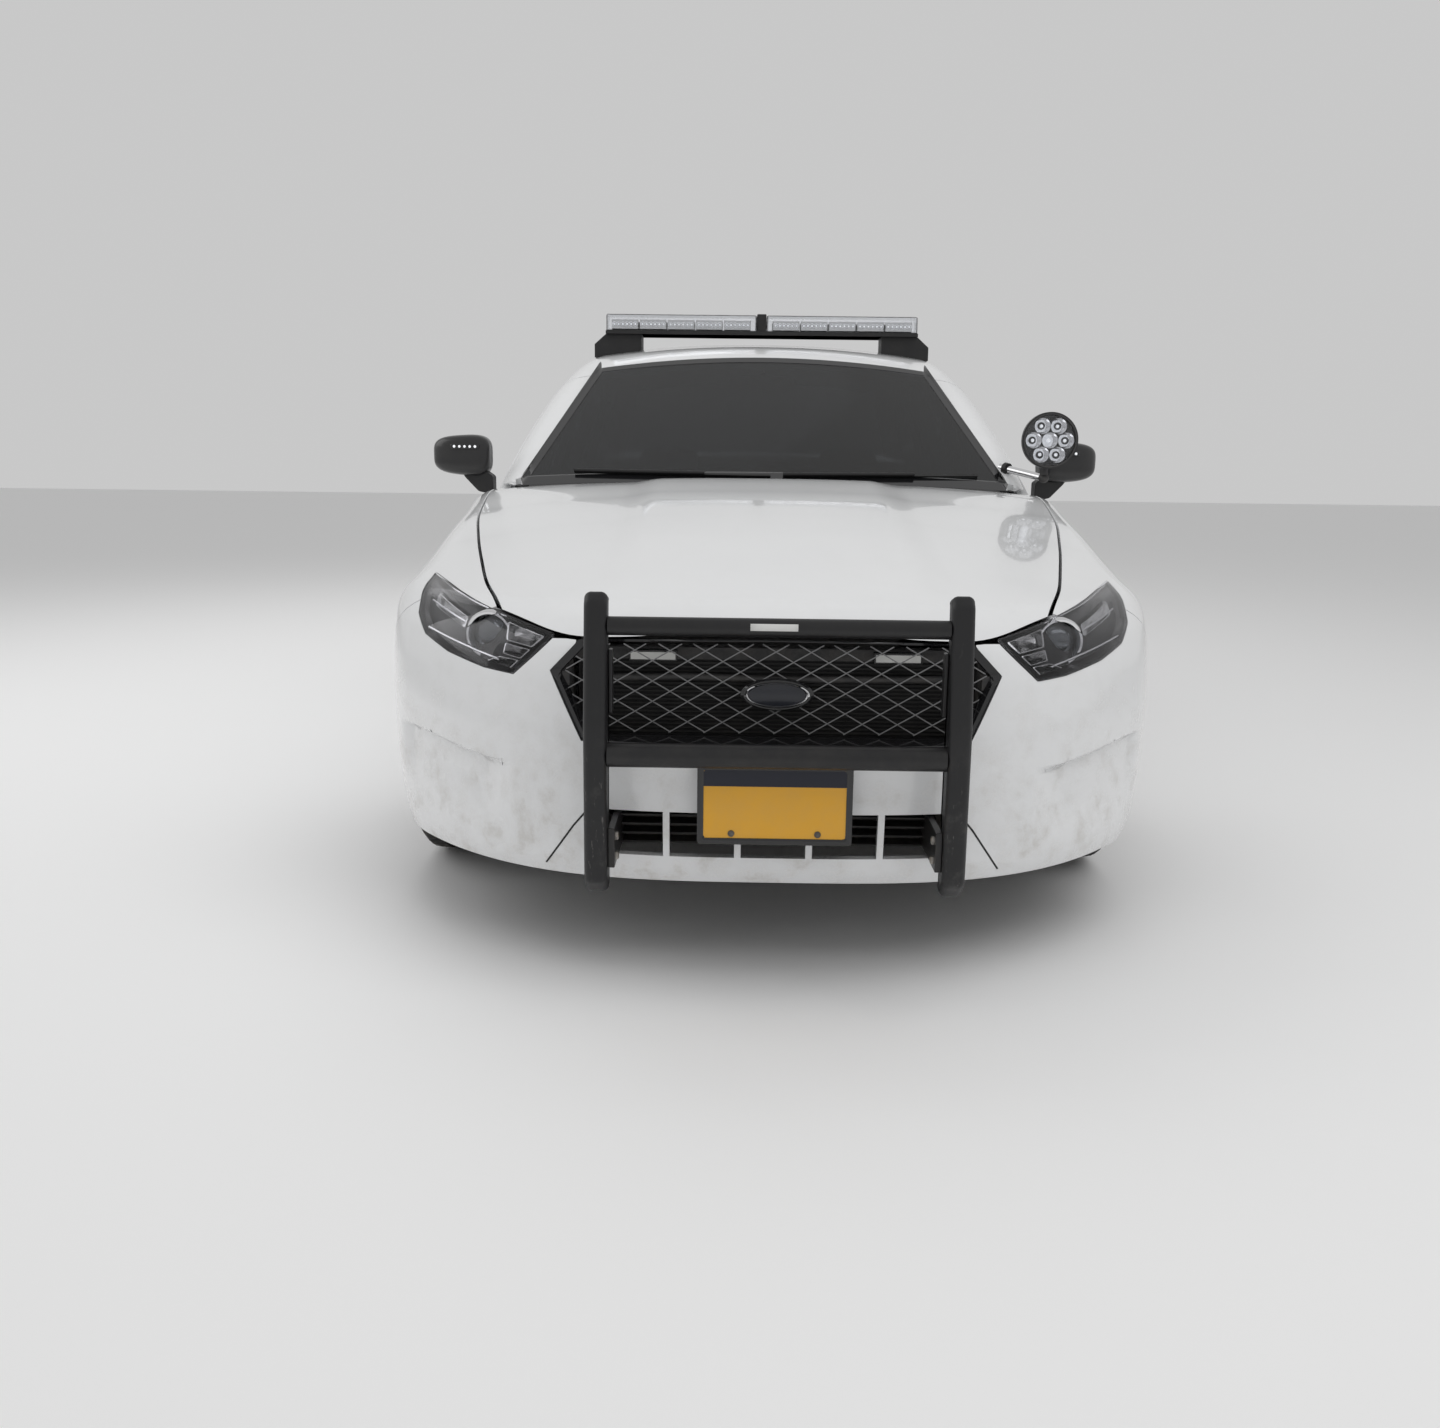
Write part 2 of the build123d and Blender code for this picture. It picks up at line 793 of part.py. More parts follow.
def pillar_grid(x_start, x_end, foot, half):
    """The skin beside a screen, from the door frames to the glass."""
    return ring_grid(
        cabin,
        PILLAR_AXIS,
        along(x_start),
        along(x_end),
        lambda p: p[..., 2] - foot(p[..., 0]),
        lambda p: half(p[..., 2]) + GLASS_GAP - p[..., 1],
        11,
        7,
    )


def pillar(grid, slope):
    """A pillar's panel, its lower edge cut level and the edge at the glass cut square to the glass."""
    inner = inward(grid, PANEL)
    inner[:, 0, 2] = grid[:, 0, 2]
    inner[:, -1] = grid[:, -1] - PANEL * np.array([slope, 0, 1]) / math.hypot(slope, 1)
    return slab(grid, inner)


def a_pillar_grid():
    """The skin of the left windscreen pillar."""

    def foot(x):
        return np.maximum(door_top_z(x), belt_z(x) + 14)

    def half(z):
        share = (np.maximum(z, SCREEN_FOOT_Z) - SCREEN_FOOT_Z) / (SCREEN_HEAD_Z - 46 - SCREEN_FOOT_Z)
        return SCREEN_FOOT_HALF + (SCREEN_HEAD_HALF - SCREEN_FOOT_HALF) * share

    return pillar_grid(CABIN_X - 105, HEADER_X + 40, foot, half)


def c_pillar_grid():
    """The skin of the left rear pillar."""

    def foot(x):
        return belt_z(x) - 30

    def half(z):
        share = (np.maximum(z, REAR_FOOT_Z) - REAR_FOOT_Z) / (REAR_HEAD_Z - 40 - REAR_FOOT_Z)
        return REAR_FOOT_HALF + (REAR_HEAD_HALF - REAR_FOOT_HALF) * share

    return pillar_grid(REAR_AXLE_X + 140, DECK_X + 100, foot, half)


# Inner edge of the quarter panel: x, distance from the middle line
QUARTER_TOP = [
    (TAIL_X, 640),
    (TAIL_X + 300, 668),
    (DECK_X - 60, 716),
    (DECK_X + 60, 744),
    (REAR_AXLE_X, 842),
    (REAR_AXLE_X + 400, 862),
]


def quarter_top_y(x):
    """Half width at the quarter panel's inner edge."""
    return curve(QUARTER_TOP, 1, x)


def quarter_grid():
    """The left quarter panel's outer skin."""
    columns = 11
    heights = np.linspace(DOOR_FOOT, 1080, columns)
    return ring_grid(
        lower_body,
        LOWER_AXIS,
        lambda v: curve(REAR_EDGE, 1, np.interp(v, np.linspace(0, 1, columns), heights)) - SHUT_GAP / 2,
        along(TAIL_X + 300),
        lambda p: p[..., 2] - DOOR_FOOT,
        lambda p: quarter_top_y(p[..., 0]) - p[..., 1],
        15,
        columns,
    )


def rocker():
    """The left sill beam under the doors."""
    grid = ring_grid(
        lower_body,
        LOWER_AXIS,
        along(FRONT_AXLE_X - ARCH_RADIUS - 4),
        along(REAR_AXLE_X + ARCH_RADIUS + 4),
        lambda p: p[..., 2] - SILL_BOTTOM,
        lambda p: p[..., 2] - (DOOR_FOOT - SHUT_GAP),
        7,
        5,
    )
    inner = grid.copy()
    inner[..., 1] = FLOOR_HALF
    return slab(grid, inner)


# Seam under the quarter panel and tail lamp in side view: (x, z)
TAIL_SEAM = [
    (REAR_AXLE_X - 300, 600),
    (REAR_AXLE_X - 460, 640),
    (TAIL_X + 330, 740),
    (TAIL_X + 290, 760),
]
TAIL_LAMP_FRONT = TAIL_X + 300 - LAMP_FIT
TAIL_LAMP = (628, 766, 1012)


def below_tail_seam(shift):
    """The region of the rear bumper cover beside the left wheel."""
    points = [(x, z + shift) for x, z in TAIL_SEAM]
    points += [(TAIL_X - 60, 760 + shift), (TAIL_X - 60, 150), (REAR_AXLE_X - 300, 150)]
    return column_y(points)


JACK_PAD = (80, 60)
JACK_Z = SILL_BOTTOM - 7
SILL_PAD_Y = 800
APRON_Z = (ARCH_RADIUS + TYRE_RADIUS + 4, 804)
APRON_END = FRONT_AXLE_X + 352
LAMP_HOUSING = 60


def seals():
    """The strips on the posts that the doors close against."""
    near = POST_Y
    far = TRIM_Y - SEAT_GAP
    low, high = 330, 900
    strips = box((CABIN_X - 70, CABIN_X - 57), (near, far), (low, 780))
    strips += box((B_POST_X + 46, B_POST_X + 60), (near, far), (low, high))
    strips += box((B_POST_X - 60, B_POST_X - 40), (near, far), (low, high))
    arc = drum(REAR_AXLE_X, TYRE_RADIUS, ARCH_RADIUS + 88, near, far)
    arc -= drum(REAR_AXLE_X, TYRE_RADIUS, ARCH_RADIUS + 70, near, far)
    return strips + (arc & box((REAR_AXLE_X + 300, REAR_AXLE_X + 600), (near, far), (440, 700)))


def apron():
    """The rail inside the fender, with the tabs that carry it."""
    rail = box((CABIN_X - 60, APRON_END), (FLOOR_HALF, 800), APRON_Z)
    for x in (FRONT_AXLE_X - 380, FRONT_AXLE_X, APRON_END - 60):
        rail += box((x, x + 60), (760, HALF_WIDTH), APRON_Z)
    return rail - behind_skin(fender_grid())


def cant_rail():
    """The rail over the doors, shaped to the roof's inner skin."""
    outline = top_edge(CABIN_X - 190, REAR_AXLE_X + 120, -20, 13)
    outline += top_edge(CABIN_X - 190, REAR_AXLE_X + 120, 4, 13)[::-1]
    rail = side_slab(along(CABIN_X), along(DECK_X), 980, 1520, PANEL + 1, FRAME_DEPTH + 20)
    grid = roof_grid()
    return (rail & column_y(outline)) - slab(roof_inside(grid, -160), roof_inside(grid, PANEL + 2 * SEAT_GAP))


def side_frame():
    """The left body side: sill, posts, pillars, rail, apron and quarter panel."""
    frame = rocker()
    quarter = quarter_grid()
    quarter_skin = slab(quarter, inward(quarter, PANEL))
    frame += quarter_skin - well(REAR_AXLE_X) - below_tail_seam(SHUT_GAP / 4)
    outline = top_edge(CABIN_X - 150, REAR_AXLE_X - 150, -6, 13)
    outline += [(REAR_AXLE_X - 150, 985), (CABIN_X - 150, 985)]
    ring_wall = side_slab(along(CABIN_X), along(DECK_X), 980, 1520, FRAME_DEPTH + SHUT_GAP, 36)
    ring_wall = ring_wall & column_y(outline)
    belt = [(float(x), float(belt_z(x)) + 12) for x in np.linspace(CABIN_X, REAR_AXLE_X + 140, 9)]
    belt += [(REAR_AXLE_X + 140, 900), (CABIN_X, 900)]
    ring_wall -= column_y(belt, POST_Y)
    for place in DOORS:
        ring_wall -= column_y(window_outline(place, 4))
    frame += ring_wall
    low = SILL_BOTTOM + 40
    hinge_post = [(1015, low), (1015, 940), (930, 965), (800, 1002), (800, 900), (915, 850), (915, low)]
    frame += column_y(hinge_post, FLOOR_HALF, POST_Y)
    frame += box((B_POST_X - 62, B_POST_X + 62), (FLOOR_HALF, POST_Y), (low, 1030))
    frame += box((REAR_AXLE_X + 64, REAR_AXLE_X + 126), (FLOOR_HALF, 850), (740, 1085)) - well(REAR_AXLE_X)
    hoop = drum(REAR_AXLE_X, TYRE_RADIUS, ARCH_RADIUS + 88, FLOOR_HALF, POST_Y)
    hoop -= box((REAR_AXLE_X - 600, REAR_AXLE_X + 64), (0, 1300), (-200, 1300))
    hoop -= box((REAR_AXLE_X, REAR_AXLE_X + 600), (0, 1300), (-200, low))
    frame += hoop - well(REAR_AXLE_X)
    for x in (CABIN_X - 75, REAR_AXLE_X + 550):
        frame += box((x, x + JACK_PAD[0]), (SILL_PAD_Y, SILL_PAD_Y + JACK_PAD[1]), (JACK_Z, low))
    for piece in (seals(), apron(), cant_rail(), pillar(a_pillar_grid(), SCREEN_SLOPE)):
        frame += piece
    return frame + pillar(c_pillar_grid(), -REAR_SLOPE)


def rear_grid(bottom, top, rows=13, columns=9):
    """The whole rear skin from arch to arch, seen from between the rear wheels."""
    share = np.linspace(0, 1, rows)[:, None]
    z = bottom + (top - bottom) * np.linspace(0, 1, columns)[None, :] + 0 * share
    axis_x = REAR_AXLE_X - 350
    axis_y = 400
    middle = np.arctan2(tail_x(0, z) - axis_x, -axis_y)
    last = math.radians(5)
    angle = middle + (last - middle) * share
    half = cast(lower_body, (axis_x, axis_y, z), (np.sin(angle), np.cos(angle), 0 * angle))
    half[0, :, 1] = 0
    return whole(half)


def rear_bumper():
    """The rear bumper cover from arch to arch."""
    grid = rear_grid(REAR_BOTTOM, 756)
    skin = slab(grid, inward(grid, PANEL))
    above = [(x, z - SHUT_GAP / 4) for x, z in TAIL_SEAM]
    above += [(TAIL_X - 60, 758), (TAIL_X - 60, 1100), (REAR_AXLE_X - 300, 1100)]
    for cutter in (column_y(above), well(REAR_AXLE_X), box((REAR_AXLE_X - 300, 0), (300, 1300), (100, 900))):
        skin -= cutter
        skin -= opposite(cutter)
    return skin


def tail_lamp():
    """The left tail lamp, wrapped round the corner."""
    near, low, high = TAIL_LAMP
    grid = rear_grid(low, high)
    keep = box((TAIL_X - 60, TAIL_LAMP_FRONT), (near, 1200), (low - 10, high + 10))
    return slab(grid, inward(grid, LAMP_HOUSING)) & keep


def trunk_grid():
    """The boot lid's outer skin: the deck and the upper tail."""
    rows = 9
    columns = 15
    share = np.linspace(0, 1, rows)[:, None]
    v = np.linspace(0, 1, columns)[None, :]
    axis_x = TAIL_X + 330
    axis_z = 780
    first = np.arctan2(DECK_HEIGHT - axis_z, DECK_X - 4 - axis_x)
    last = math.radians(176)
    angle = first + (last - first) * v + 0 * share
    half_width = curve([(0, 700), (0.45, 660), (0.7, 622), (1, 616)], 1, v)
    half = cast(lower_body, (axis_x, share * half_width, axis_z), (np.cos(angle), 0 * angle, np.sin(angle)))
    half[0, :, 1] = 0
    return whole(half)


def trunk_lid():
    """The boot lid."""
    grid = trunk_grid()
    return slab(grid, inward(grid, PANEL))


def tyre():
    """A tyre about the Y axis at the origin, outer side towards +Y."""
    half = TYRE_WIDTH / 2
    # Half of the tyre's section: radius, distance from the middle plane
    section = [
        (RIM_RADIUS, half - 18),
        (RIM_RADIUS + 34, half - 3),
        (TYRE_RADIUS - 58, half),
        (TYRE_RADIUS - 20, half - 7),
        (TYRE_RADIUS - 4, half - 26),
        (TYRE_RADIUS, half - 60),
    ]
    points = section + [(r, -w) for r, w in section[::-1]]
    face = make_face(Polyline(*[(r, w, 0) for r, w in points], close=True))
    return revolve(face, Axis.Y)


SPINDLE = 26
DISC_RADIUS = 170
HUB_RADIUS = 78
SPOKE_COUNT = 10


def rim():
    """A steel rim with its brake disc about the Y axis at the origin, outer side towards +Y."""
    half = RIM_WIDTH / 2
    wall = 9
    seat = RIM_RADIUS - SEAT_GAP
    barrel = [
        (seat, half),
        (seat, half - 30),
        (seat - 16, half - 48),
        (seat - 16, -half + 30),
        (seat, -half + 18),
        (seat, -half),
        (seat - wall, -half),
        (seat - 16 - wall, -half + 32),
        (seat - 16 - wall, half - 52),
        (seat - wall, half - 34),
        (seat - wall, half),
    ]
    ring_solid = revolve(make_face(Polyline(*[(r, w, 0) for r, w in barrel], close=True)), Axis.Y)
    dish = [
        (SPINDLE + SEAT_GAP, 66),
        (HUB_RADIUS, 66),
        (HUB_RADIUS + 24, 58),
        (150, 72),
        (190, 62),
        (seat - 18, 40),
        (seat - 18, 26),
        (188, 48),
        (150, 58),
        (HUB_RADIUS + 26, 44),
        (HUB_RADIUS, 40),
        (HUB_RADIUS, 14),
        (SPINDLE + SEAT_GAP, 14),
    ]
    face = revolve(make_face(Polyline(*[(r, w, 0) for r, w in dish], close=True)), Axis.Y)
    for index in range(SPOKE_COUNT):
        angle = 360 / SPOKE_COUNT * index
        face -= Rot(0, angle, 0) * Pos(168, 0, 0) * Rot(90, 0, 0) * Cylinder(19, 300)
    disc = Rot(90, 0, 0) * Cylinder(DISC_RADIUS, 26)
    disc -= Rot(90, 0, 0) * Cylinder(SPINDLE + SEAT_GAP, 40)
    return ring_solid + face + Pos(0, 1, 0) * disc


def on_wheel(shape, axle_x, side):
    """A wheel piece set at its hub."""
    placed = Pos(axle_x, WHEEL_Y, TYRE_RADIUS) * shape
    return placed if side == "left" else opposite(placed)


UPRIGHT_Y = (764, 800)
KNUCKLE_Z = (216, 512)
ARM_END = UPRIGHT_Y[0] + 20


def knuckle():
    """The left front knuckle with its spindle."""
    x = FRONT_AXLE_X
    upright = box((x - 32, x + 32), UPRIGHT_Y, KNUCKLE_Z)
    spindle = drum(x, TYRE_RADIUS, SPINDLE, UPRIGHT_Y[1] - 5, WHEEL_Y + 60)
    tie_arm = box((x - 150, x - 20), (770, 794), (262, 286))
    return upright + spindle + tie_arm


SUBFRAME_Z = (214, 262)
RAIL_Y = (430, 484)
RAIL_Z = (340, 430)
BOOT_FLOOR_Z = (330, 352)


def front_suspension():
    """Subframe, arms and spring struts of the front axle."""
    x = FRONT_AXLE_X
    frame = box((x - 150, x + 190), (-RAIL_Y[1], RAIL_Y[1]), SUBFRAME_Z)
    arm_z = KNUCKLE_Z[0] - SEAT_GAP
    upper_z = KNUCKLE_Z[1] + SEAT_GAP
    for mirrored in (False, True):
        arm = box((x - 30, x + 30), (420, ARM_END), (arm_z - 30, arm_z))
        arm += box((x - 30, x + 30), (420, 460), (arm_z - 30, SUBFRAME_Z[1]))
        arm += box((x - 24, x + 24), (560, ARM_END), (upper_z, upper_z + 22))
        arm += rod((x, 600, arm_z - 5), (x, 600, 830), 30)
        arm += rod((x, 600, 430), (x, 600, 780), 52)
        arm += box((x - 60, x + 60), RAIL_Y, (SUBFRAME_Z[1], RAIL_Z[0] - SEAT_GAP))
        frame += opposite(arm) if mirrored else arm
    return frame


def rear_suspension():
    """Subframe, arms, carriers and springs of the rear axle."""
    x = REAR_AXLE_X
    frame = box((x - 110, x + 130), (-420, 420), (238, 278))
    for mirrored in (False, True):
        arm = box((x - 35, x + 35), (410, 800), (238, 262))
        arm += box((x - 32, x + 32), UPRIGHT_Y, (226, 500))
        arm += drum(x, TYRE_RADIUS, SPINDLE, UPRIGHT_Y[1] - 5, WHEEL_Y + 60)
        arm += rod((x, 600, 250), (x, 600, 690), 48)
        arm += box((x - 60, x + 60), (380, 420), (270, BOOT_FLOOR_Z[0] - SEAT_GAP))
        frame += opposite(arm) if mirrored else arm
    return frame


def liner(axle_x):
    """The left wheel-arch liner: a hoop and an inner wall open for the axle and its strut."""
    radius = ARCH_RADIUS - SEAT_GAP
    hoop = drum(axle_x, TYRE_RADIUS, radius, WELL_WALL_Y, 925)
    hoop -= drum(axle_x, TYRE_RADIUS, radius - LINER, WELL_WALL_Y + LINER, 1000)
    hoop -= box((axle_x - 600, axle_x + 600), (0, 1300), (-100, 268))
    hoop -= drum(axle_x, TYRE_RADIUS, 250, WELL_WALL_Y - 10, WELL_WALL_Y + 20)
    hoop -= box((axle_x - 200, axle_x + 200), (400, 520), (100, TYRE_RADIUS))
    return hoop - rod((axle_x, 600, 500), (axle_x, 600, 900), 58)


def floor_pan():
    """The floor with its firewall, rails, boot floor and seat bulkhead."""
    front = FRONT_AXLE_X - ARCH_RADIUS - 4
    rear = REAR_AXLE_X + ARCH_RADIUS + 4
    floor = box((rear, front), (-FLOOR_HALF, FLOOR_HALF), (FLOOR_Z, FLOOR_Z + FLOOR_SHEET))
    floor += box((-530, front - 60), (-110, 110), (FLOOR_Z, FLOOR_Z + 110))
    floor += box((front - 47, front - 22), (-FLOOR_HALF, FLOOR_HALF), (FLOOR_Z, 948))
    floor += box((rear - 20, rear), (-FLOOR_HALF, FLOOR_HALF), (FLOOR_Z, 352))
    floor += box((TAIL_X + 150, rear), (-480, 480), BOOT_FLOOR_Z)
    floor += box((TAIL_X + 210, REAR_AXLE_X - ARCH_RADIUS - 10), (-720, 720), BOOT_FLOOR_Z)
    floor += box((REAR_AXLE_X + 150, REAR_AXLE_X + 172), (-480, 480), (340, 1060))
    floor += box((NOSE_X - 190, NOSE_X - 150), (-470, 470), (284, 382))
    floor += box((NOSE_X - 190, NOSE_X - 150), (-470, 470), (690, 716))
    skin = hood_grid()
    hood_rest = slab(inward(skin, -160), hood_inside(skin, HOOD_PANEL + SEAT_GAP))
    for side in (1, -1):
        rail = sorted((side * RAIL_Y[0], side * RAIL_Y[1]))
        floor += box((front - 47, NOSE_X - 150), rail, RAIL_Z)
        post = sorted((side * 440, side * 470))
        floor += box((NOSE_X - 190, NOSE_X - 150), post, (284, 716))
        stop = sorted((side * 380, side * 420))
        floor += box((NOSE_X - 188, NOSE_X - 152), stop, (710, 800)) - hood_rest
        clip = sorted((side * 440, side * 456))
        floor += box((NOSE_X - 152, MESH_X - SEAT_GAP), clip, (640, 670))
    front_beam = box((NOSE_X - 150, NOSE_X), (-455, 455), (440, 520))
    rear_beam = box((TAIL_X, TAIL_X + 210), (-380, 380), (330, 440))
    latch = box((TAIL_X + 64, TAIL_X + 110), (-60, 60), (440, 830))
    floor += latch - behind_skin(trunk_grid()) - behind_skin(rear_grid(REAR_BOTTOM, 756))
    floor += front_beam - behind_skin(front_grid(FRONT_BOTTOM))
    floor += rear_beam - behind_skin(rear_grid(REAR_BOTTOM, 756))
    for axle_x in (FRONT_AXLE_X, REAR_AXLE_X):
        floor -= well(axle_x)
        floor -= opposite(well(axle_x))
    return floor


def radiator():
    """The radiator behind the grille."""
    return box((NOSE_X - 182, NOSE_X - 158), (-428, 428), (382, 690))


def engine():
    """The engine as one block."""
    x = FRONT_AXLE_X
    return box((x - 140, x + 360), (-330, 330), (SUBFRAME_Z[1], 780))


GUARD_Y = 366
UPRIGHT_WIDTH = 48
# Guard upright in side view: (x, z), front edge up, rear edge down
GUARD_SIDE = [
    (GUARD_X - 42, 232),
    (GUARD_X - 2, 268),
    (GUARD_X, 300),
    (GUARD_X, 590),
    (GUARD_X - 34, 838),
    (GUARD_X - 52, 858),
    (GUARD_X - 84, 850),
    (GUARD_X - 56, 590),
    (GUARD_X - 56, 300),
    (GUARD_X - 70, 240),
]


def push_guard():
    """The push guard: two bent uprights, two cross tubes and the brackets to the crossmember."""
    start = GUARD_Y - UPRIGHT_WIDTH / 2
    upright = column_y(GUARD_SIDE, start, start + UPRIGHT_WIDTH)
    bracket = box((NOSE_X - 150, GUARD_X - 20), (start - 14, start), (292, 376))
    guard = upright + bracket
    guard = guard + opposite(guard)
    guard += rod((GUARD_X - 50, -start, 789), (GUARD_X - 50, start, 789), 19)
    guard += rod((GUARD_X - 28, -start, 529), (GUARD_X - 28, start, 529), 25)
    return guard


def grille_mesh():
    """The grille's diamond mesh with its frame and blank badge."""
    depth = (MESH_X, MESH_X + 6)
    outline = [(0, 736), (420, 722), (474, 672), (404, 536), (0, 536)]
    return column_x(mirrored_outline(outline), *depth)


def plate():
    """The blank front number plate on its holder."""
    return box((GUARD_X - 76, GUARD_X - 72), (-152, 152), (340, 494)) + box(
        (NOSE_X + SEAT_GAP, GUARD_X - 76), (-162, 162), (326, 500)
    )


def cowl():
    """The plastic cowl between the hood's rear edge and the windscreen."""
    share = np.linspace(-0.94, 0.94, 11)[:, None]
    u = np.linspace(0, 1, 5)[None, :]
    y = SCREEN_FOOT_HALF * share
    foot = SCREEN_FOOT_Z + 25 - 22 * share**2
    rear = screen_x(y, foot) + 2 * SEAT_GAP
    x = rear + (FRONT_AXLE_X - ARCH_RADIUS - 51 - rear) * u
    z = (foot + 2) * (1 - u) + (top_z(x, y) - HOOD_PANEL - 16) * u
    outer = np.stack([x, y + 0 * u, z], -1)
    return slab(outer, outer - np.array([0, 0, 18])) - hood_space()


BAR_X = HEADER_X - 372
BAR_HALF = 608
BAR_Z = 1584
BAR_TRAY = 12
# Light bar foot in front view: (y, z)
BAR_FOOT = [(470, 1590), (604, 1590), (654, 1546), (654, 1496), (600, 1502), (470, 1520)]


def light_bar_base():
    """The light bar's tray with its feet on the roof."""
    tray = box((BAR_X - 85, BAR_X + 85), (-BAR_HALF, BAR_HALF), (BAR_Z, BAR_Z + BAR_TRAY))
    foot = column_x(BAR_FOOT, BAR_X - 60, BAR_X + 60)
    tray = tray + foot + opposite(foot)
    grid = roof_grid()
    return tray - slab(inward(grid, -SEAT_GAP), inward(grid, 60))


def light_bar_lenses():
    """The light bar's two clear lens housings and the post between them."""
    lenses = []
    foot_z = BAR_Z + BAR_TRAY
    for low, high in ((4 - BAR_HALF, -22), (22, BAR_HALF - 4)):
        lens = box((BAR_X - 80, BAR_X + 80), (low, high), (foot_z, foot_z + 62))
        lenses.append(fillet(lens.edges().filter_by(Axis.Y).group_by(Axis.Z)[-1], 14))
    lenses.append(box((BAR_X - 76, BAR_X + 76), (-18, 18), (foot_z, foot_z + 68)))
    return lenses


SPOT = (930, 900, 1183)
# Spotlight drum: radius, distance ahead of its middle
SPOT_SECTION = [(0, -70), (34, -66), (70, -30), (88, 22), (88, 44), (0, 44)]
SPOT_SHAFT_RADIUS = 12


def spotlight():
    """The left-hand spotlight head on its stem, with the shaft to the windscreen pillar."""
    x, y, z = SPOT
    section = make_face(Polyline(*[(radius, ahead, 0) for radius, ahead in SPOT_SECTION], close=True))
    head = Pos(x, y, z) * Rot(0, 0, -90) * revolve(section, Axis.Y)
    knee = (x - 20, y, z - 118)
    stem = rod(knee, (x - 20, y, z - 60), SPOT_SHAFT_RADIUS)
    shaft = rod(knee, (x - 165, y - 112, z - 86), SPOT_SHAFT_RADIUS)
    joint = Pos(*knee) * Sphere(SPOT_SHAFT_RADIUS + 2)
    return head + stem + joint + (shaft - over_skin(a_pillar_grid()))


MIRROR_X = (728, 842)
MIRROR_Y = (908, 1096)
MIRROR_Z = (1046, 1184)
# Mirror foot in front view: (y, z)
MIRROR_FOOT = [
    (DOOR_SHOULDER_Y + 1, 985),
    (DOOR_SHOULDER_Y + 1, 1050),
    (930, 1066),
    (1010, 1066),
    (990, 1034),
    (946, 990),
]


def mirror_housing():
    """The left door mirror with its foot."""
    body = box(MIRROR_X, MIRROR_Y, MIRROR_Z)
    body = fillet(body.edges(), 40)
    foot = column_x(MIRROR_FOOT, 752, 812)
    front, rear = DOORS["front"][:2]
    return body + (foot - over_skin(door_grid(front, rear)))


WIPER_RADIUS = 6


def wipers():
    """The two wiper arms lying at the foot of the windscreen, each with its pivot on the cowl."""
    lean = np.array([SCREEN_SLOPE, 1]) / math.hypot(SCREEN_SLOPE, 1)
    arms = []
    for start, end in ((60, 700), (-620, 20)):
        y = np.linspace(start, end, 7)
        z = 1056 + 6 * np.abs(y) / 700
        x = screen_x(y, z) + (WIPER_RADIUS + 1) * lean[0]
        z = z + (WIPER_RADIUS + 1) * lean[1]
        arm = None
        for a in range(6):
            link = rod((x[a], y[a], z[a]), (x[a + 1], y[a + 1], z[a + 1]), WIPER_RADIUS)
            arm = link if arm is None else arm + link
        arms.append(arm)
    return arms


STEER_CENTRE = (470, 370, 915)
STEER_TILT = 26
COLUMN_START = 70
STEER_AXIS = Vector(-math.cos(math.radians(STEER_TILT)), 0, math.sin(math.radians(STEER_TILT)))


def dashboard():
    """The dashboard with the steering column."""
    wall = FRONT_AXLE_X - ARCH_RADIUS - 51 - SEAT_GAP
    outline = [(wall, 600), (wall, 940), (880, 948), (640, 940), (580, 880), (600, 780), (760, 640)]
    face = make_face(Polyline(*[(x, -732, z) for x, z in outline], close=True))
    plane = Plane(origin=STEER_CENTRE, x_dir=(0, 1, 0), z_dir=STEER_AXIS)
    column = plane * Pos(0, 0, -COLUMN_START - SEAT_GAP - 100) * Cylinder(32, 200)
    return extrude(face, amount=1464, dir=(0, 1, 0)) + column


def steering_wheel():
    """The steering wheel: rim, boss, spokes and the end of its shaft."""
    plane = Plane(origin=STEER_CENTRE, x_dir=(0, 1, 0), z_dir=STEER_AXIS)
    rim_ring = plane * Torus(182, 16)
    boss = plane * Pos(0, 0, -10) * Cylinder(62, 36)
    wheel = rim_ring + boss
    for angle in (0, 180, 270):
        wheel += plane * Rot(0, 0, angle) * Pos(110, 0, -8) * Box(130, 34, 14)
    return wheel + plane * Pos(0, 0, -COLUMN_START / 2) * Cylinder(24, COLUMN_START)


def seat(y, width):
    """A plain front seat on its pedestal."""
    cushion = [(-150, 320), (370, 340), (400, 400), (360, 470), (-60, 440), (-250, 960), (-290, 975), (-345, 955)]
    cushion += [(-300, 700), (-210, 330)]
    face = make_face(Polyline(*[(x, y - width / 2, z) for x, z in cushion], close=True))
    body = extrude(face, amount=width, dir=(0, 1, 0))
    head = box((-375, -275), (y - 130, y + 130), (990, 1160))
    post = box((-330, -310), (y - 60, y + 60), (940, 1000))
    top = FLOOR_Z + FLOOR_SHEET
    return body + head + post + box((-120, 300), (y - 190, y + 190), (top, 345))


def front_seats():
    """The two front seats."""
    return [seat(370, 500), seat(-370, 500)]


def rear_seat():
    """The rear bench."""
    top = FLOOR_Z + FLOOR_SHEET
    front = [(-560, top), (-540, 420), (-580, 500), (-950, 470), (-1130, 1030), (-1180, 1040)]
    front += [(-1180, 353), (-930, 353), (-930, top)]
    face = make_face(Polyline(*[(x, -470, z) for x, z in front], close=True))
    return extrude(face, amount=940, dir=(0, 1, 0))


def exhaust():
    """The exhaust pipe and rear silencer."""
    pipe = rod((FRONT_AXLE_X - 200, 60, 206), (-1900, 60, 206), 28)
    return pipe + box((-2330, -1890), (-60, 330), (196, 329.7))


def fuel_tank():
    """The fuel tank under the rear seat."""
    return box((-1216, -970), (-400, 400), (238, 330))


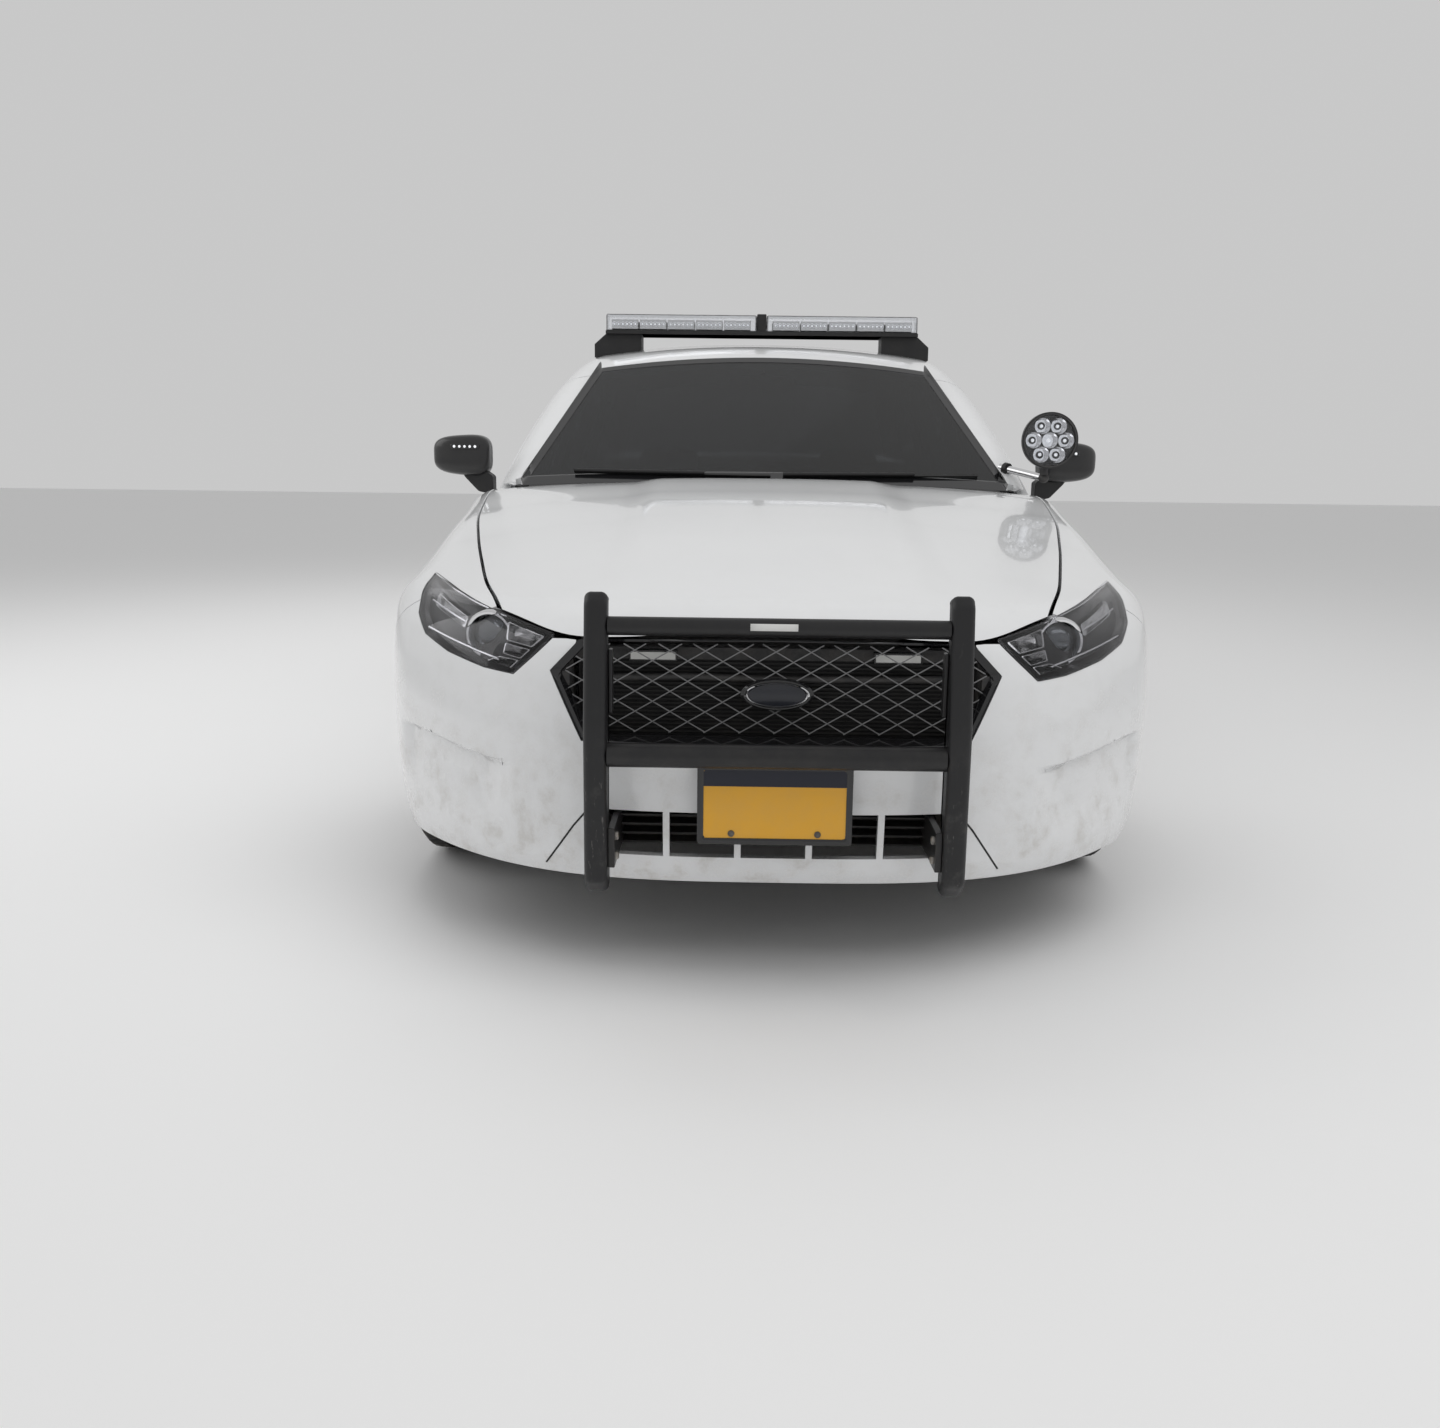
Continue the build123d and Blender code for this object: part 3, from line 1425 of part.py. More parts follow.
def parcel_shelf():
    """The shelf behind the rear seat."""
    shelf = box((DECK_X - 30, REAR_AXLE_X + 150), (-640, 640), (1040, 1056))
    rests = box((DECK_X - 30, DECK_X - 20), (500, 560), (1050, DECK_HEIGHT)) - behind_skin(trunk_grid(), PANEL + 2 * SEAT_GAP)
    return shelf + rests + opposite(rests)


def build():
    """All the pieces by name."""
    shapes = {
        "floor_pan": floor_pan(),
        "hood": hood(),
        "trunk_lid": trunk_lid(),
        "front_bumper_cover": bumper_cover(),
        "rear_bumper_cover": rear_bumper(),
        "headlamps": pair(headlamp()),
        "tail_lamps": pair(tail_lamp()),
        "windshield": windshield(),
        "rear_window": rear_window(),
        "roof_panel": roof_panel(),
        "radiator": radiator(),
        "engine_block": engine(),
        "push_guard": push_guard(),
        "grille_mesh": grille_mesh(),
        "number_plate": plate(),
        "cowl_panel": cowl(),
        "light_bar_base": light_bar_base(),
        "light_bar_lenses": Compound(light_bar_lenses()),
        "spotlight": spotlight(),
        "wipers": Compound(wipers()),
        "dashboard": dashboard(),
        "steering_wheel": steering_wheel(),
        "front_seats": Compound(front_seats()),
        "rear_seat": rear_seat(),
        "exhaust": exhaust(),
        "fuel_tank": fuel_tank(),
        "parcel_shelf": parcel_shelf(),
        "front_suspension": front_suspension(),
        "rear_suspension": rear_suspension(),
        "front_liners": pair(liner(FRONT_AXLE_X)),
        "rear_liners": pair(liner(REAR_AXLE_X)),
    }
    left_pieces = {
        "side_frame": side_frame(),
        "fender": fender(),
        "door_front": door_panel("front"),
        "door_rear": door_panel("rear"),
        "glass_front": door_glass("front"),
        "glass_rear": door_glass("rear"),
        "mirror": mirror_housing(),
        "knuckle": knuckle(),
    }
    for name, shape in left_pieces.items():
        shapes[f"{name}_left"] = shape
        shapes[f"{name}_right"] = opposite(shape)
    tyre_shape = tyre()
    rim_shape = rim()
    for place, axle_x in (("front", FRONT_AXLE_X), ("rear", REAR_AXLE_X)):
        for side in ("left", "right"):
            shapes[f"tyre_{place}_{side}"] = on_wheel(tyre_shape, axle_x, side)
            shapes[f"rim_{place}_{side}"] = on_wheel(rim_shape, axle_x, side)
    return shapes


if __name__ == "__main__":
    os.makedirs("parts", exist_ok=True)
    for name, shape in build().items():
        export_step(shape, f"parts/{name}.step")
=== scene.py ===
"""Looks of a police patrol saloon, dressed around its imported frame.

The painted panels are the frame's own panels made finer: their outer faces are divided and pressed onto the
same rounded skin that the frame was cut from, so that the gloss runs smoothly. Lengths in the skin's tables
are millimetres; everything in Blender is metres.
"""

from __future__ import annotations

import json
import logging
import math
from dataclasses import dataclass, field
from enum import Enum
from typing import Callable, Iterable, Sequence

import bmesh
import bpy
import numpy as np
from mathutils import Matrix, Vector
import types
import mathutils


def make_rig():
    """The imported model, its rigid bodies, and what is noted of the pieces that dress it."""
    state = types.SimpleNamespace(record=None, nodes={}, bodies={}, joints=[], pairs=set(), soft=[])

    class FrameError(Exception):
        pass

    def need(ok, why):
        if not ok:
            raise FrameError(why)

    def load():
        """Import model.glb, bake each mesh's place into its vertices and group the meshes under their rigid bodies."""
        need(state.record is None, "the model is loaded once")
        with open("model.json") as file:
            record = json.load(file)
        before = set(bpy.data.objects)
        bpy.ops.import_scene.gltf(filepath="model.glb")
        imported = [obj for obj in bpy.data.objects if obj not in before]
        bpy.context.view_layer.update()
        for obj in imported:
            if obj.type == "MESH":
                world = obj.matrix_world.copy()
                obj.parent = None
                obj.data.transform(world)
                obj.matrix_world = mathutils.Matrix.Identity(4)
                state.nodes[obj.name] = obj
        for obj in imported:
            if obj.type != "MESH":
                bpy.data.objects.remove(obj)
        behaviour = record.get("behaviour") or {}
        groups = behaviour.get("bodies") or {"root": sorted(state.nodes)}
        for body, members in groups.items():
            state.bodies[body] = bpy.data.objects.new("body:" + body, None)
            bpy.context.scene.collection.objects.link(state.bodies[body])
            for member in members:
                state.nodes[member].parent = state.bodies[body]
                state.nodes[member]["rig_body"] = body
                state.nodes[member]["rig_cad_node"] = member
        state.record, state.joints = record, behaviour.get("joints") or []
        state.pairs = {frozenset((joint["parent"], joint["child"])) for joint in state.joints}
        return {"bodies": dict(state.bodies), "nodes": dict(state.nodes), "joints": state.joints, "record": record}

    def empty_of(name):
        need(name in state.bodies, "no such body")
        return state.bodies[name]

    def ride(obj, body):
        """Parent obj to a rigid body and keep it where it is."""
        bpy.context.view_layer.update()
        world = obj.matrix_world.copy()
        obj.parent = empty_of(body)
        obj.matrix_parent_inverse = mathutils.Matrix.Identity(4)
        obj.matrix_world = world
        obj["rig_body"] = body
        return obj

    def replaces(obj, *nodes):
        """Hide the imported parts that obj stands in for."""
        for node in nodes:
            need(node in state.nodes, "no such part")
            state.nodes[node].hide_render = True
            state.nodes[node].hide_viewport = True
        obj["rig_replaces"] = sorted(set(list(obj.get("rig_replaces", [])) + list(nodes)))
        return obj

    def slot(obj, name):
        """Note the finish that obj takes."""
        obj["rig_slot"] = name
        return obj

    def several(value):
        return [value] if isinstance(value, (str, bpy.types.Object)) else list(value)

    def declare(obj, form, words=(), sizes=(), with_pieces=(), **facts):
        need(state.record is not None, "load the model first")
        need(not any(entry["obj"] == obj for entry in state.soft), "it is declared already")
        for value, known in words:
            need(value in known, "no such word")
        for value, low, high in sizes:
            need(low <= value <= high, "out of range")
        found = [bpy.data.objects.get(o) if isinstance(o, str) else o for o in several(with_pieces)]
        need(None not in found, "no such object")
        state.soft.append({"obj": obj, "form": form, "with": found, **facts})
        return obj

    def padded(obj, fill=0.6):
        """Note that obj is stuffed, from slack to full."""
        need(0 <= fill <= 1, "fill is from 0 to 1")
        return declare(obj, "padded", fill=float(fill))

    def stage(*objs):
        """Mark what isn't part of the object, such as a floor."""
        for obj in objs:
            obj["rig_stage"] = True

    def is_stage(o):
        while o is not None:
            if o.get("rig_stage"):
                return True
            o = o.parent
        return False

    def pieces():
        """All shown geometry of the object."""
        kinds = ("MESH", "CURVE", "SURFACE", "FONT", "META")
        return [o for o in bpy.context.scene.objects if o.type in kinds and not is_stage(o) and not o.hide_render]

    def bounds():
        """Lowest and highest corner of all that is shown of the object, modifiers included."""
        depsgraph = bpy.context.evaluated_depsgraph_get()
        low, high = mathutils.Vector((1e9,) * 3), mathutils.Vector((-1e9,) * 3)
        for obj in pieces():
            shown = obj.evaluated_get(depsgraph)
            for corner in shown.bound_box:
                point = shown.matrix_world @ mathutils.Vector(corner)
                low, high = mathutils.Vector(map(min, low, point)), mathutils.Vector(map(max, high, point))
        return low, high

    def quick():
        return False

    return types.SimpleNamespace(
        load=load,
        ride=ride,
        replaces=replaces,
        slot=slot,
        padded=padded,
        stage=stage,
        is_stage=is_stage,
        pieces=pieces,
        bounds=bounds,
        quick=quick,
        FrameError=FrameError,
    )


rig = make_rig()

LOG = logging.getLogger("patrol_car")
MM = 0.001
TINY = 1e-9
Array = np.ndarray
Colour = tuple[float, float, float]
Pair = tuple[float, float]
Spot = tuple[float, float, float]
Box = tuple[Pair, Pair, Pair]
Outline = Sequence[Pair]
Field = Callable[[Array, Array, Array], Array]

AHEAD = (1, 0, 0)
QUARTERS = (-1.5, -0.5, 0.5, 1.5)

NOSE_X = 2522.0
TAIL_X = -2632.0
GUARD_X = 2632.0
FRONT_AXLE_X = 1512.0
REAR_AXLE_X = -1356.0
CABIN_X = 985.0
HEADER_X = 222.0
REAR_HEADER_X = -1180.0
DECK_X = -1930.0
B_POST_X = -168.0
HALF_WIDTH = 967.0
BELT = 1035.0
COWL = 1044.0
DECK = 1138.0
ROOF_TOP = 1574.0
EDGE_RADIUS = 60.0
SCREEN_SLOPE = 0.618
REAR_SLOPE = 0.477
SCREEN_FOOT_Z = COWL - 29
REAR_FOOT_Z = DECK - 6
WHEEL_Y = 830.0
TYRE_RADIUS = 363.0

# Falls of a face away from the middle: depth, half width and power.
NOSE_SWEEP = (440, 900, 3.2)
TAIL_SWEEP = (250, 900, 3.4)
ROOF_CROWN = (46, 640, 2.2)
SCREEN_CURVE = (92, 800, 2)
REAR_CURVE = (84, 700, 2)
EDGE_DROP = (870, 2.4)

SCREEN_TILT = 0.5
REAR_TILT = 0.4
GLASS_LEAN = 0.25
GLASS_BEND = 0.00039
WAIST_Y = 870.0
DOME_HALF = 430
DOME_EDGE = 110

# The pocket at each corner of the front bumper: its depth and the ranges of its smooth steps.
POCKET_DEPTH = 34
POCKET_IN = (0, 14)
POCKET_FOOT = (270, 450)
POCKET_INNER = (560, 660)
POCKET_OUTER = (850, 905)
BROW_Z = 470
BROW_RISE = 24
BROW_OUT = (590, 850)

HALVINGS = 40
INSIDE_X = 1650.0
FRONT_REACH = 1050

PLAN = [
    (TAIL_X, HALF_WIDTH - 92),
    (REAR_AXLE_X - 640, HALF_WIDTH - 30),
    (REAR_AXLE_X, HALF_WIDTH - 2),
    (B_POST_X, HALF_WIDTH - 12),
    (FRONT_AXLE_X, HALF_WIDTH),
    (FRONT_AXLE_X + 480, HALF_WIDTH - 27),
    (NOSE_X, HALF_WIDTH - 80),
]
SIDE = [(155, 62), (296, 24), (450, 7), (650, 0), (800, 6), (930, 24), (1040, 46), (1160, 78)]
TOP = [
    (TAIL_X, DECK - 62, 48),
    (TAIL_X + 160, DECK - 8, 42),
    (DECK_X, DECK, 30),
    (REAR_AXLE_X + 300, BELT + 58, 30),
    (B_POST_X, BELT + 22, 30),
    (CABIN_X, COWL, 36),
    (FRONT_AXLE_X - 200, COWL - 34, 60),
    (FRONT_AXLE_X + 100, COWL - 84, 82),
    (FRONT_AXLE_X + 480, COWL - 160, 88),
    (NOSE_X - 240, COWL - 224, 80),
    (NOSE_X - 70, COWL - 276, 60),
    (NOSE_X + 20, COWL - 340, 50),
]
NOSE = [(185, 64), (260, 22), (400, 5), (520, 0), (640, 20), (720, 55), (780, 108), (850, 190), (950, 330)]
TAIL = [(185, 80), (330, 18), (500, 0), (650, 4), (760, 38), (900, 58), (1040, 72), (1150, 62)]
SHOULDER = [(CABIN_X - 40, 0), (CABIN_X + 220, 24), (FRONT_AXLE_X + 220, 24), (FRONT_AXLE_X + 420, 0)]
SHOULDER_Z = (750, 850)
DOME = [(CABIN_X - 60, 0), (CABIN_X + 60, 13), (FRONT_AXLE_X + 300, 12), (NOSE_X - 200, 3), (NOSE_X, 0)]
ROOF = [
    (DECK_X - 40, DECK + 230),
    (REAR_HEADER_X, ROOF_TOP - 72),
    (REAR_HEADER_X + 330, ROOF_TOP - 20),
    (REAR_HEADER_X + 700, ROOF_TOP),
    (HEADER_X - 220, ROOF_TOP - 40),
    (HEADER_X, ROOF_TOP - 96),
    (HEADER_X + 300, ROOF_TOP - 200),
]
GLASS_FOOT = [
    (DECK_X - 100, 770),
    (REAR_AXLE_X, 850),
    (B_POST_X, 880),
    (CABIN_X - 100, 874),
    (CABIN_X + 100, 866),
]


def curve(table: Sequence[tuple[float, ...]], column: int, at: Array | float) -> Array:
    """Reads a smooth monotone curve through one column of a table.

    Between two rows the value is the cubic with the rows' heights and with tangents that are the harmonic
    mean of the slopes on both sides, or nought where the slope changes sign.

    Args:
        table: rows whose first column rises.
        column: the column that is read.
        at: where it is read; beyond the ends the end value holds.

    Returns:
        The values, in the shape of at.
    """
    rows = np.array(table, float)
    xs, ys = rows[:, 0], rows[:, column]
    step = np.diff(xs)
    slope = np.diff(ys) / step
    tangent = np.zeros(len(xs))
    same = slope[1:] * slope[:-1] > 0
    tangent[1:-1] = np.where(same, 2 * slope[1:] * slope[:-1] / np.where(same, slope[1:] + slope[:-1], 1), 0)
    tangent[0], tangent[-1] = slope[0], slope[-1]
    at = np.clip(np.asarray(at, float), xs[0], xs[-1])
    span = np.clip(np.searchsorted(xs, at, side="right") - 1, 0, len(step) - 1)
    t = (at - xs[span]) / step[span]
    start = ys[span] * (1 + 2 * t) * (1 - t) ** 2 + tangent[span] * step[span] * t * (1 - t) ** 2
    end = ys[span + 1] * t**2 * (3 - 2 * t) - tangent[span + 1] * step[span] * t**2 * (1 - t)
    return start + end


def round_max(gaps: Sequence[Array], radius: float) -> Array:
    """Joins signed distances to faces into one, its edges rounded: the length of the parts above -radius."""
    stack = np.stack(np.broadcast_arrays(*gaps))
    over = np.maximum(stack + radius, 0)
    return np.minimum(stack.max(0), -radius) + np.sqrt((over**2).sum(0))


def smooth(value: Array, low: float, high: float) -> Array:
    """A smooth step from 0 at low to 1 at high: t * t * (3 - 2 * t)."""
    t = np.clip((value - low) / (high - low), 0, 1)
    return t**2 * (3 - 2 * t)


def fall(y: Array, depth: Array | float, half: float, power: float) -> Array:
    """How far a face falls away beside the middle: depth * (|y| / half) ** power."""
    return depth * (np.abs(y) / half) ** power


def side_y(x: Array, z: Array) -> Array:
    """Half width of the lower body: the plan's width less the side's tuck and the fender shoulder's."""
    return curve(PLAN, 1, x) - curve(SIDE, 1, z) - curve(SHOULDER, 1, x) * smooth(z, *SHOULDER_Z)


def top_z(x: Array, y: Array) -> Array:
    """Height of hood, waist and deck: the middle line, the hood's raised middle, and a drop to the edge."""
    dome = curve(DOME, 1, x) * smooth(DOME_HALF - np.abs(y), 0, DOME_EDGE)
    return curve(TOP, 1, x) + dome - fall(y, curve(TOP, 2, x), *EDGE_DROP)


def nose_x(y: Array, z: Array) -> Array:
    """Front face, set back by height and swept back by the distance from the middle."""
    return NOSE_X - curve(NOSE, 1, z) - fall(y, *NOSE_SWEEP)


def tail_x(y: Array, z: Array) -> Array:
    """Rear face, the front face's counterpart."""
    return TAIL_X + curve(TAIL, 1, z) + fall(y, *TAIL_SWEEP)


def lower_body(x: Array, y: Array, z: Array) -> Array:
    """Signed distance to the body below the waist, negative inside."""
    gaps = [np.abs(y) - side_y(x, z), z - top_z(x, y), x - nose_x(y, z), tail_x(y, z) - x]
    return round_max(gaps, EDGE_RADIUS)


def belt_z(x: Array) -> Array:
    """Height of the waist under the side glass."""
    return top_z(x, np.asarray(WAIST_Y))


def glass_y(x: Array, z: Array) -> Array:
    """Half width of the cabin above the waist: it leans in and curves in with the square of the rise."""
    rise = np.asarray(z) - belt_z(x)
    return curve(GLASS_FOOT, 1, x) - GLASS_LEAN * rise - GLASS_BEND * rise**2


def roof_z(x: Array, y: Array) -> Array:
    """Height of the crowned roof."""
    return curve(ROOF, 1, x) - fall(y, *ROOF_CROWN)


def screen_x(y: Array, z: Array) -> Array:
    """Windscreen, raked and curved in plan."""
    return CABIN_X - (np.asarray(z) - SCREEN_FOOT_Z) / SCREEN_SLOPE - fall(y, *SCREEN_CURVE)


def rear_screen_x(y: Array, z: Array) -> Array:
    """Rear window, raked and curved in plan."""
    return DECK_X + (np.asarray(z) - REAR_FOOT_Z) / REAR_SLOPE + fall(y, *REAR_CURVE)


def cabin(x: Array, y: Array, z: Array) -> Array:
    """Signed distance to the cabin above the waist, negative inside."""
    ends = [(x - screen_x(y, z)) * SCREEN_TILT, (rear_screen_x(y, z) - x) * REAR_TILT]
    return round_max([cabin_side(x, y, z), z - roof_z(x, y), *ends], EDGE_RADIUS)


def cabin_side(x: Array, y: Array, z: Array) -> Array:
    """Signed distance to the plane of the side glass."""
    return np.abs(y) - glass_y(x, z)


def bumper_skin(x: Array, y: Array, z: Array) -> Array:
    """The front bumper's skin: the body with a pocket under a crisp brow at each corner.

    The pocket's depth is scaled by smooth steps: in from the brow line, out towards the foot, the middle
    and the side.
    """
    out = np.abs(y)
    brow = BROW_Z + BROW_RISE * smooth(out, *BROW_OUT)
    depth = POCKET_DEPTH * smooth(brow - z, *POCKET_IN) * smooth(z, *POCKET_FOOT)
    depth = depth * smooth(out, *POCKET_INNER) * (1 - smooth(out, *POCKET_OUTER))
    return lower_body(x, y, z) + depth


def front_x(y: Array, z: Array) -> Array:
    """The body's front face at a point of the front view."""
    flat = np.stack(np.broadcast_arrays(INSIDE_X, y, z), -1)
    return on_skin(flat, np.array(AHEAD, float), FRONT_REACH)[..., 0]


def on_front(flat: Array, lift: float) -> Array:
    """Points of the front view laid on the body's front face and lifted ahead."""
    return np.column_stack([front_x(flat[:, 0], flat[:, 1]) + lift, flat])


def on_skin(start: Array, way: Array, reach: float) -> Array:
    """Where rays from inside the body meet its skin, found by halving an interval.

    Args:
        start: points inside the body.
        way: unit directions.
        reach: a length by which every ray has left the body.

    Returns:
        The points on the skin.
    """
    low = np.zeros(start.shape[:-1])
    high = np.full(low.shape, float(reach))
    for _ in range(HALVINGS):
        middle = (low + high) / 2
        spot = start + way * middle[..., None]
        outside = lower_body(spot[..., 0], spot[..., 1], spot[..., 2]) > 0
        high = np.where(outside, middle, high)
        low = np.where(outside, low, middle)
    return start + way * low[..., None]


def gradient(surface: Field, points: Array, step: float = 0.2) -> Array:
    """The field's slope at points by central differences over a step."""
    parts = []
    for axis in range(3):
        shift = np.zeros(3)
        shift[axis] = step
        after = surface(*(points + shift).T)
        before = surface(*(points - shift).T)
        parts.append((after - before) / (2 * step))
    return np.stack(parts, -1)


@dataclass
class Form:
    """A mesh in the making: points in millimetres and faces."""

    points: Array
    faces: list[list[int]]

    def moved(self, x: float = 0, y: float = 0, z: float = 0) -> Form:
        """The form shifted."""
        return Form(self.points + np.array([x, y, z]), self.faces)

    def on(self, side: Side) -> Form:
        """The form of the left side, mirrored for the right one."""
        if side is Side.LEFT:
            return self
        return Form(self.points * np.array([1, -1, 1]), [face[::-1] for face in self.faces])

    def facing(self, origin: Spot, ahead: Spot, up: Spot = (0, 0, 1)) -> Form:
        """The form with its Z axis turned to a direction and its origin moved.

        Args:
            origin: where the form's origin goes.
            ahead: the direction of its Z axis.
            up: roughly the direction of its Y axis.
        """
        z = np.array(ahead, float)
        z /= np.linalg.norm(z)
        x = np.cross(np.array(up, float), z)
        x /= np.linalg.norm(x)
        turn = np.stack([x, np.cross(z, x), z])
        return Form(self.points @ turn + np.array(origin, float), self.faces)


def join(forms: Sequence[Form]) -> Form:
    """Puts several forms in one mesh."""
    points, faces, start = [], [], 0
    for form in forms:
        points.append(form.points)
        faces += [[index + start for index in face] for face in form.faces]
        start += len(form.points)
    return Form(np.concatenate(points), faces)


def sheet(grid: Array, loop_u: bool = False, loop_v: bool = False) -> Form:
    """A surface from a grid of points, rows by columns, closed along rows or columns where asked."""
    rows, columns = grid.shape[:2]
    numbers = np.arange(rows * columns).reshape(rows, columns)
    if loop_u:
        numbers = np.concatenate([numbers, numbers[:1]], 0)
    if loop_v:
        numbers = np.concatenate([numbers, numbers[:, :1]], 1)
    faces = np.stack([numbers[:-1, :-1], numbers[1:, :-1], numbers[1:, 1:], numbers[:-1, 1:]], -1)
    return Form(grid.reshape(-1, 3).astype(float), faces.reshape(-1, 4).tolist())


def lathe(profile: Outline, sides: int = 48) -> Form:
    """A profile of (radius, height) turned round the Z axis."""
    rows = np.array(profile, float)
    angle = np.linspace(0, 2 * math.pi, sides, endpoint=False)
    x = rows[:, :1] * np.cos(angle)
    y = rows[:, :1] * np.sin(angle)
    return sheet(np.stack([x, y, rows[:, 1:] + 0 * x], -1), loop_v=True)


def turned(profile: Outline, place: Spot, ahead: Spot, sides: int = 48, up: Spot = (0, 0, 1)) -> Form:
    """A turned profile set at a place, its axis pointing ahead."""
    return lathe(profile, sides).facing(place, ahead, up)


def tube(path: Sequence[Spot], radius: float, sides: int = 12) -> Form:
    """A round bar along a path, its ends closed to a point in their middle.

    Every ring is radius * (cos t * n + sin t * b) about its path point, where n and b are square to the
    path's direction.
    """
    line = np.array(path, float)
    way = np.gradient(line, axis=0)
    way /= np.linalg.norm(way, axis=1, keepdims=True)
    helper = np.where(np.abs(way[:, 2:]) > 0.9, np.array([[1.0, 0, 0]]), np.array([[0, 0, 1.0]]))
    first = np.cross(way, helper)
    first /= np.linalg.norm(first, axis=1, keepdims=True)
    second = np.cross(way, first)
    angle = np.linspace(0, 2 * math.pi, sides, endpoint=False)[None, :, None]
    grid = line[:, None] + radius * (np.cos(angle) * first[:, None] + np.sin(angle) * second[:, None])
    ends = [np.repeat(line[end][None, None], sides, 1) for end in (0, -1)]
    return sheet(np.concatenate([ends[0], grid, ends[1]], 0), loop_v=True)


def prism(outline: Outline, axis: str, low: float, high: float) -> Form:
    """An outline carried along an axis; its points are the other two coordinates in their order."""
    flat = np.array(outline, float)
    place = "xyz".index(axis)
    ends = [np.insert(flat, place, value, axis=1) for value in (low, high)]
    count = len(flat)
    ring = list(range(count))
    faces = [ring[::-1], [index + count for index in ring]]
    faces += [[a, (a + 1) % count, (a + 1) % count + count, a + count] for a in ring]
    return Form(np.concatenate(ends), faces)


def pillow(outline: Array, axis: str, low: float, high: float, radius: float, steps: int = 5) -> Form:
    """A prism with round edges: at an angle t it shrinks by radius * (1 - cos t) near its ends."""
    after = np.roll(outline, -1, 0) - np.roll(outline, 1, 0)
    inward = np.stack([-after[:, 1], after[:, 0]], -1) / np.linalg.norm(after, axis=1, keepdims=True)
    inward *= np.sign(((outline.mean(0) - outline) * inward).sum(1).mean())
    turn = np.linspace(-math.pi / 2, math.pi / 2, 2 * steps)
    place = "xyz".index(axis)
    grid = []
    for angle in turn:
        flat = outline + inward * radius * (1 - math.cos(angle))
        at = low + radius * (1 + math.sin(angle)) if angle < 0 else high - radius * (1 - math.sin(angle))
        grid.append(np.insert(flat, place, at, axis=1))
    form = sheet(np.array(grid), loop_v=True)
    count = len(outline)
    last = (len(grid) - 1) * count
    caps = [list(range(count)), list(range(last, last + count))]
    return Form(form.points, form.faces + caps)


def block(x: Pair, y: Pair, z: Pair) -> Form:
    """A box between limits."""
    return prism([(y[0], z[0]), (y[1], z[0]), (y[1], z[1]), (y[0], z[1])], "x", *x)


def rounded(outline: Outline, radius: float, rounds: int = 3) -> Array:
    """An outline with its corners cut at a distance and smoothed by halving (Chaikin)."""
    points = np.array(outline, float)
    ahead = np.roll(points, -1, 0) - points
    length = np.linalg.norm(ahead, axis=1, keepdims=True)
    cut = np.minimum(radius, length * 0.45)
    way = ahead / length
    points = np.stack([points + way * cut, points + way * (length - cut)], 1).reshape(-1, 2)
    corner = np.array(outline, float)
    mixed = []
    for index in range(len(corner)):
        mixed += [points[2 * index - 1], corner[index], points[2 * index]]
    points = np.array(mixed)
    for _ in range(rounds):
        after = np.roll(points, -1, 0)
        points = np.stack([points * 0.75 + after * 0.25, points * 0.25 + after * 0.75], 1).reshape(-1, 2)
    return points


def even(outline: Array, count: int) -> Array:
    """A closed outline sampled at even steps along its length."""
    closed = np.concatenate([outline, outline[:1]])
    length = np.concatenate([[0], np.cumsum(np.linalg.norm(np.diff(closed, axis=0), axis=1))])
    at = np.linspace(0, length[-1], count, endpoint=False)
    return np.stack([np.interp(at, length, closed[:, axis]) for axis in range(2)], -1)


def ellipsoid(x: Pair, y: Pair, z: Pair, power: float, rows: int = 32, columns: int = 48) -> Form:
    """A rounded box: each coordinate is the sign of a sine or cosine times its size to a power."""

    def sharpen(value: Array) -> Array:
        return np.sign(value) * np.abs(value) ** power

    lift = np.linspace(-math.pi / 2, math.pi / 2, rows)[:, None]
    turn = np.linspace(0, 2 * math.pi, columns, endpoint=False)[None, :]
    parts = [
        sharpen(np.cos(lift)) * sharpen(np.cos(turn)),
        sharpen(np.cos(lift)) * sharpen(np.sin(turn)),
        sharpen(np.sin(lift)) + 0 * turn,
    ]
    grid = [sum(ends) / 2 + (ends[1] - ends[0]) / 2 * part for ends, part in zip((x, y, z), parts)]
    return sheet(np.stack(grid, -1), loop_v=True)


class Side(Enum):
    """Which side of the car."""

    LEFT = 1
    RIGHT = -1

    @property
    def word(self) -> str:
        """The side's name in node names."""
        return self.name.lower()


def opaque(value: object) -> object:
    """A colour with its alpha of one, or any other value as it is."""
    return (*value, 1) if isinstance(value, tuple) else value


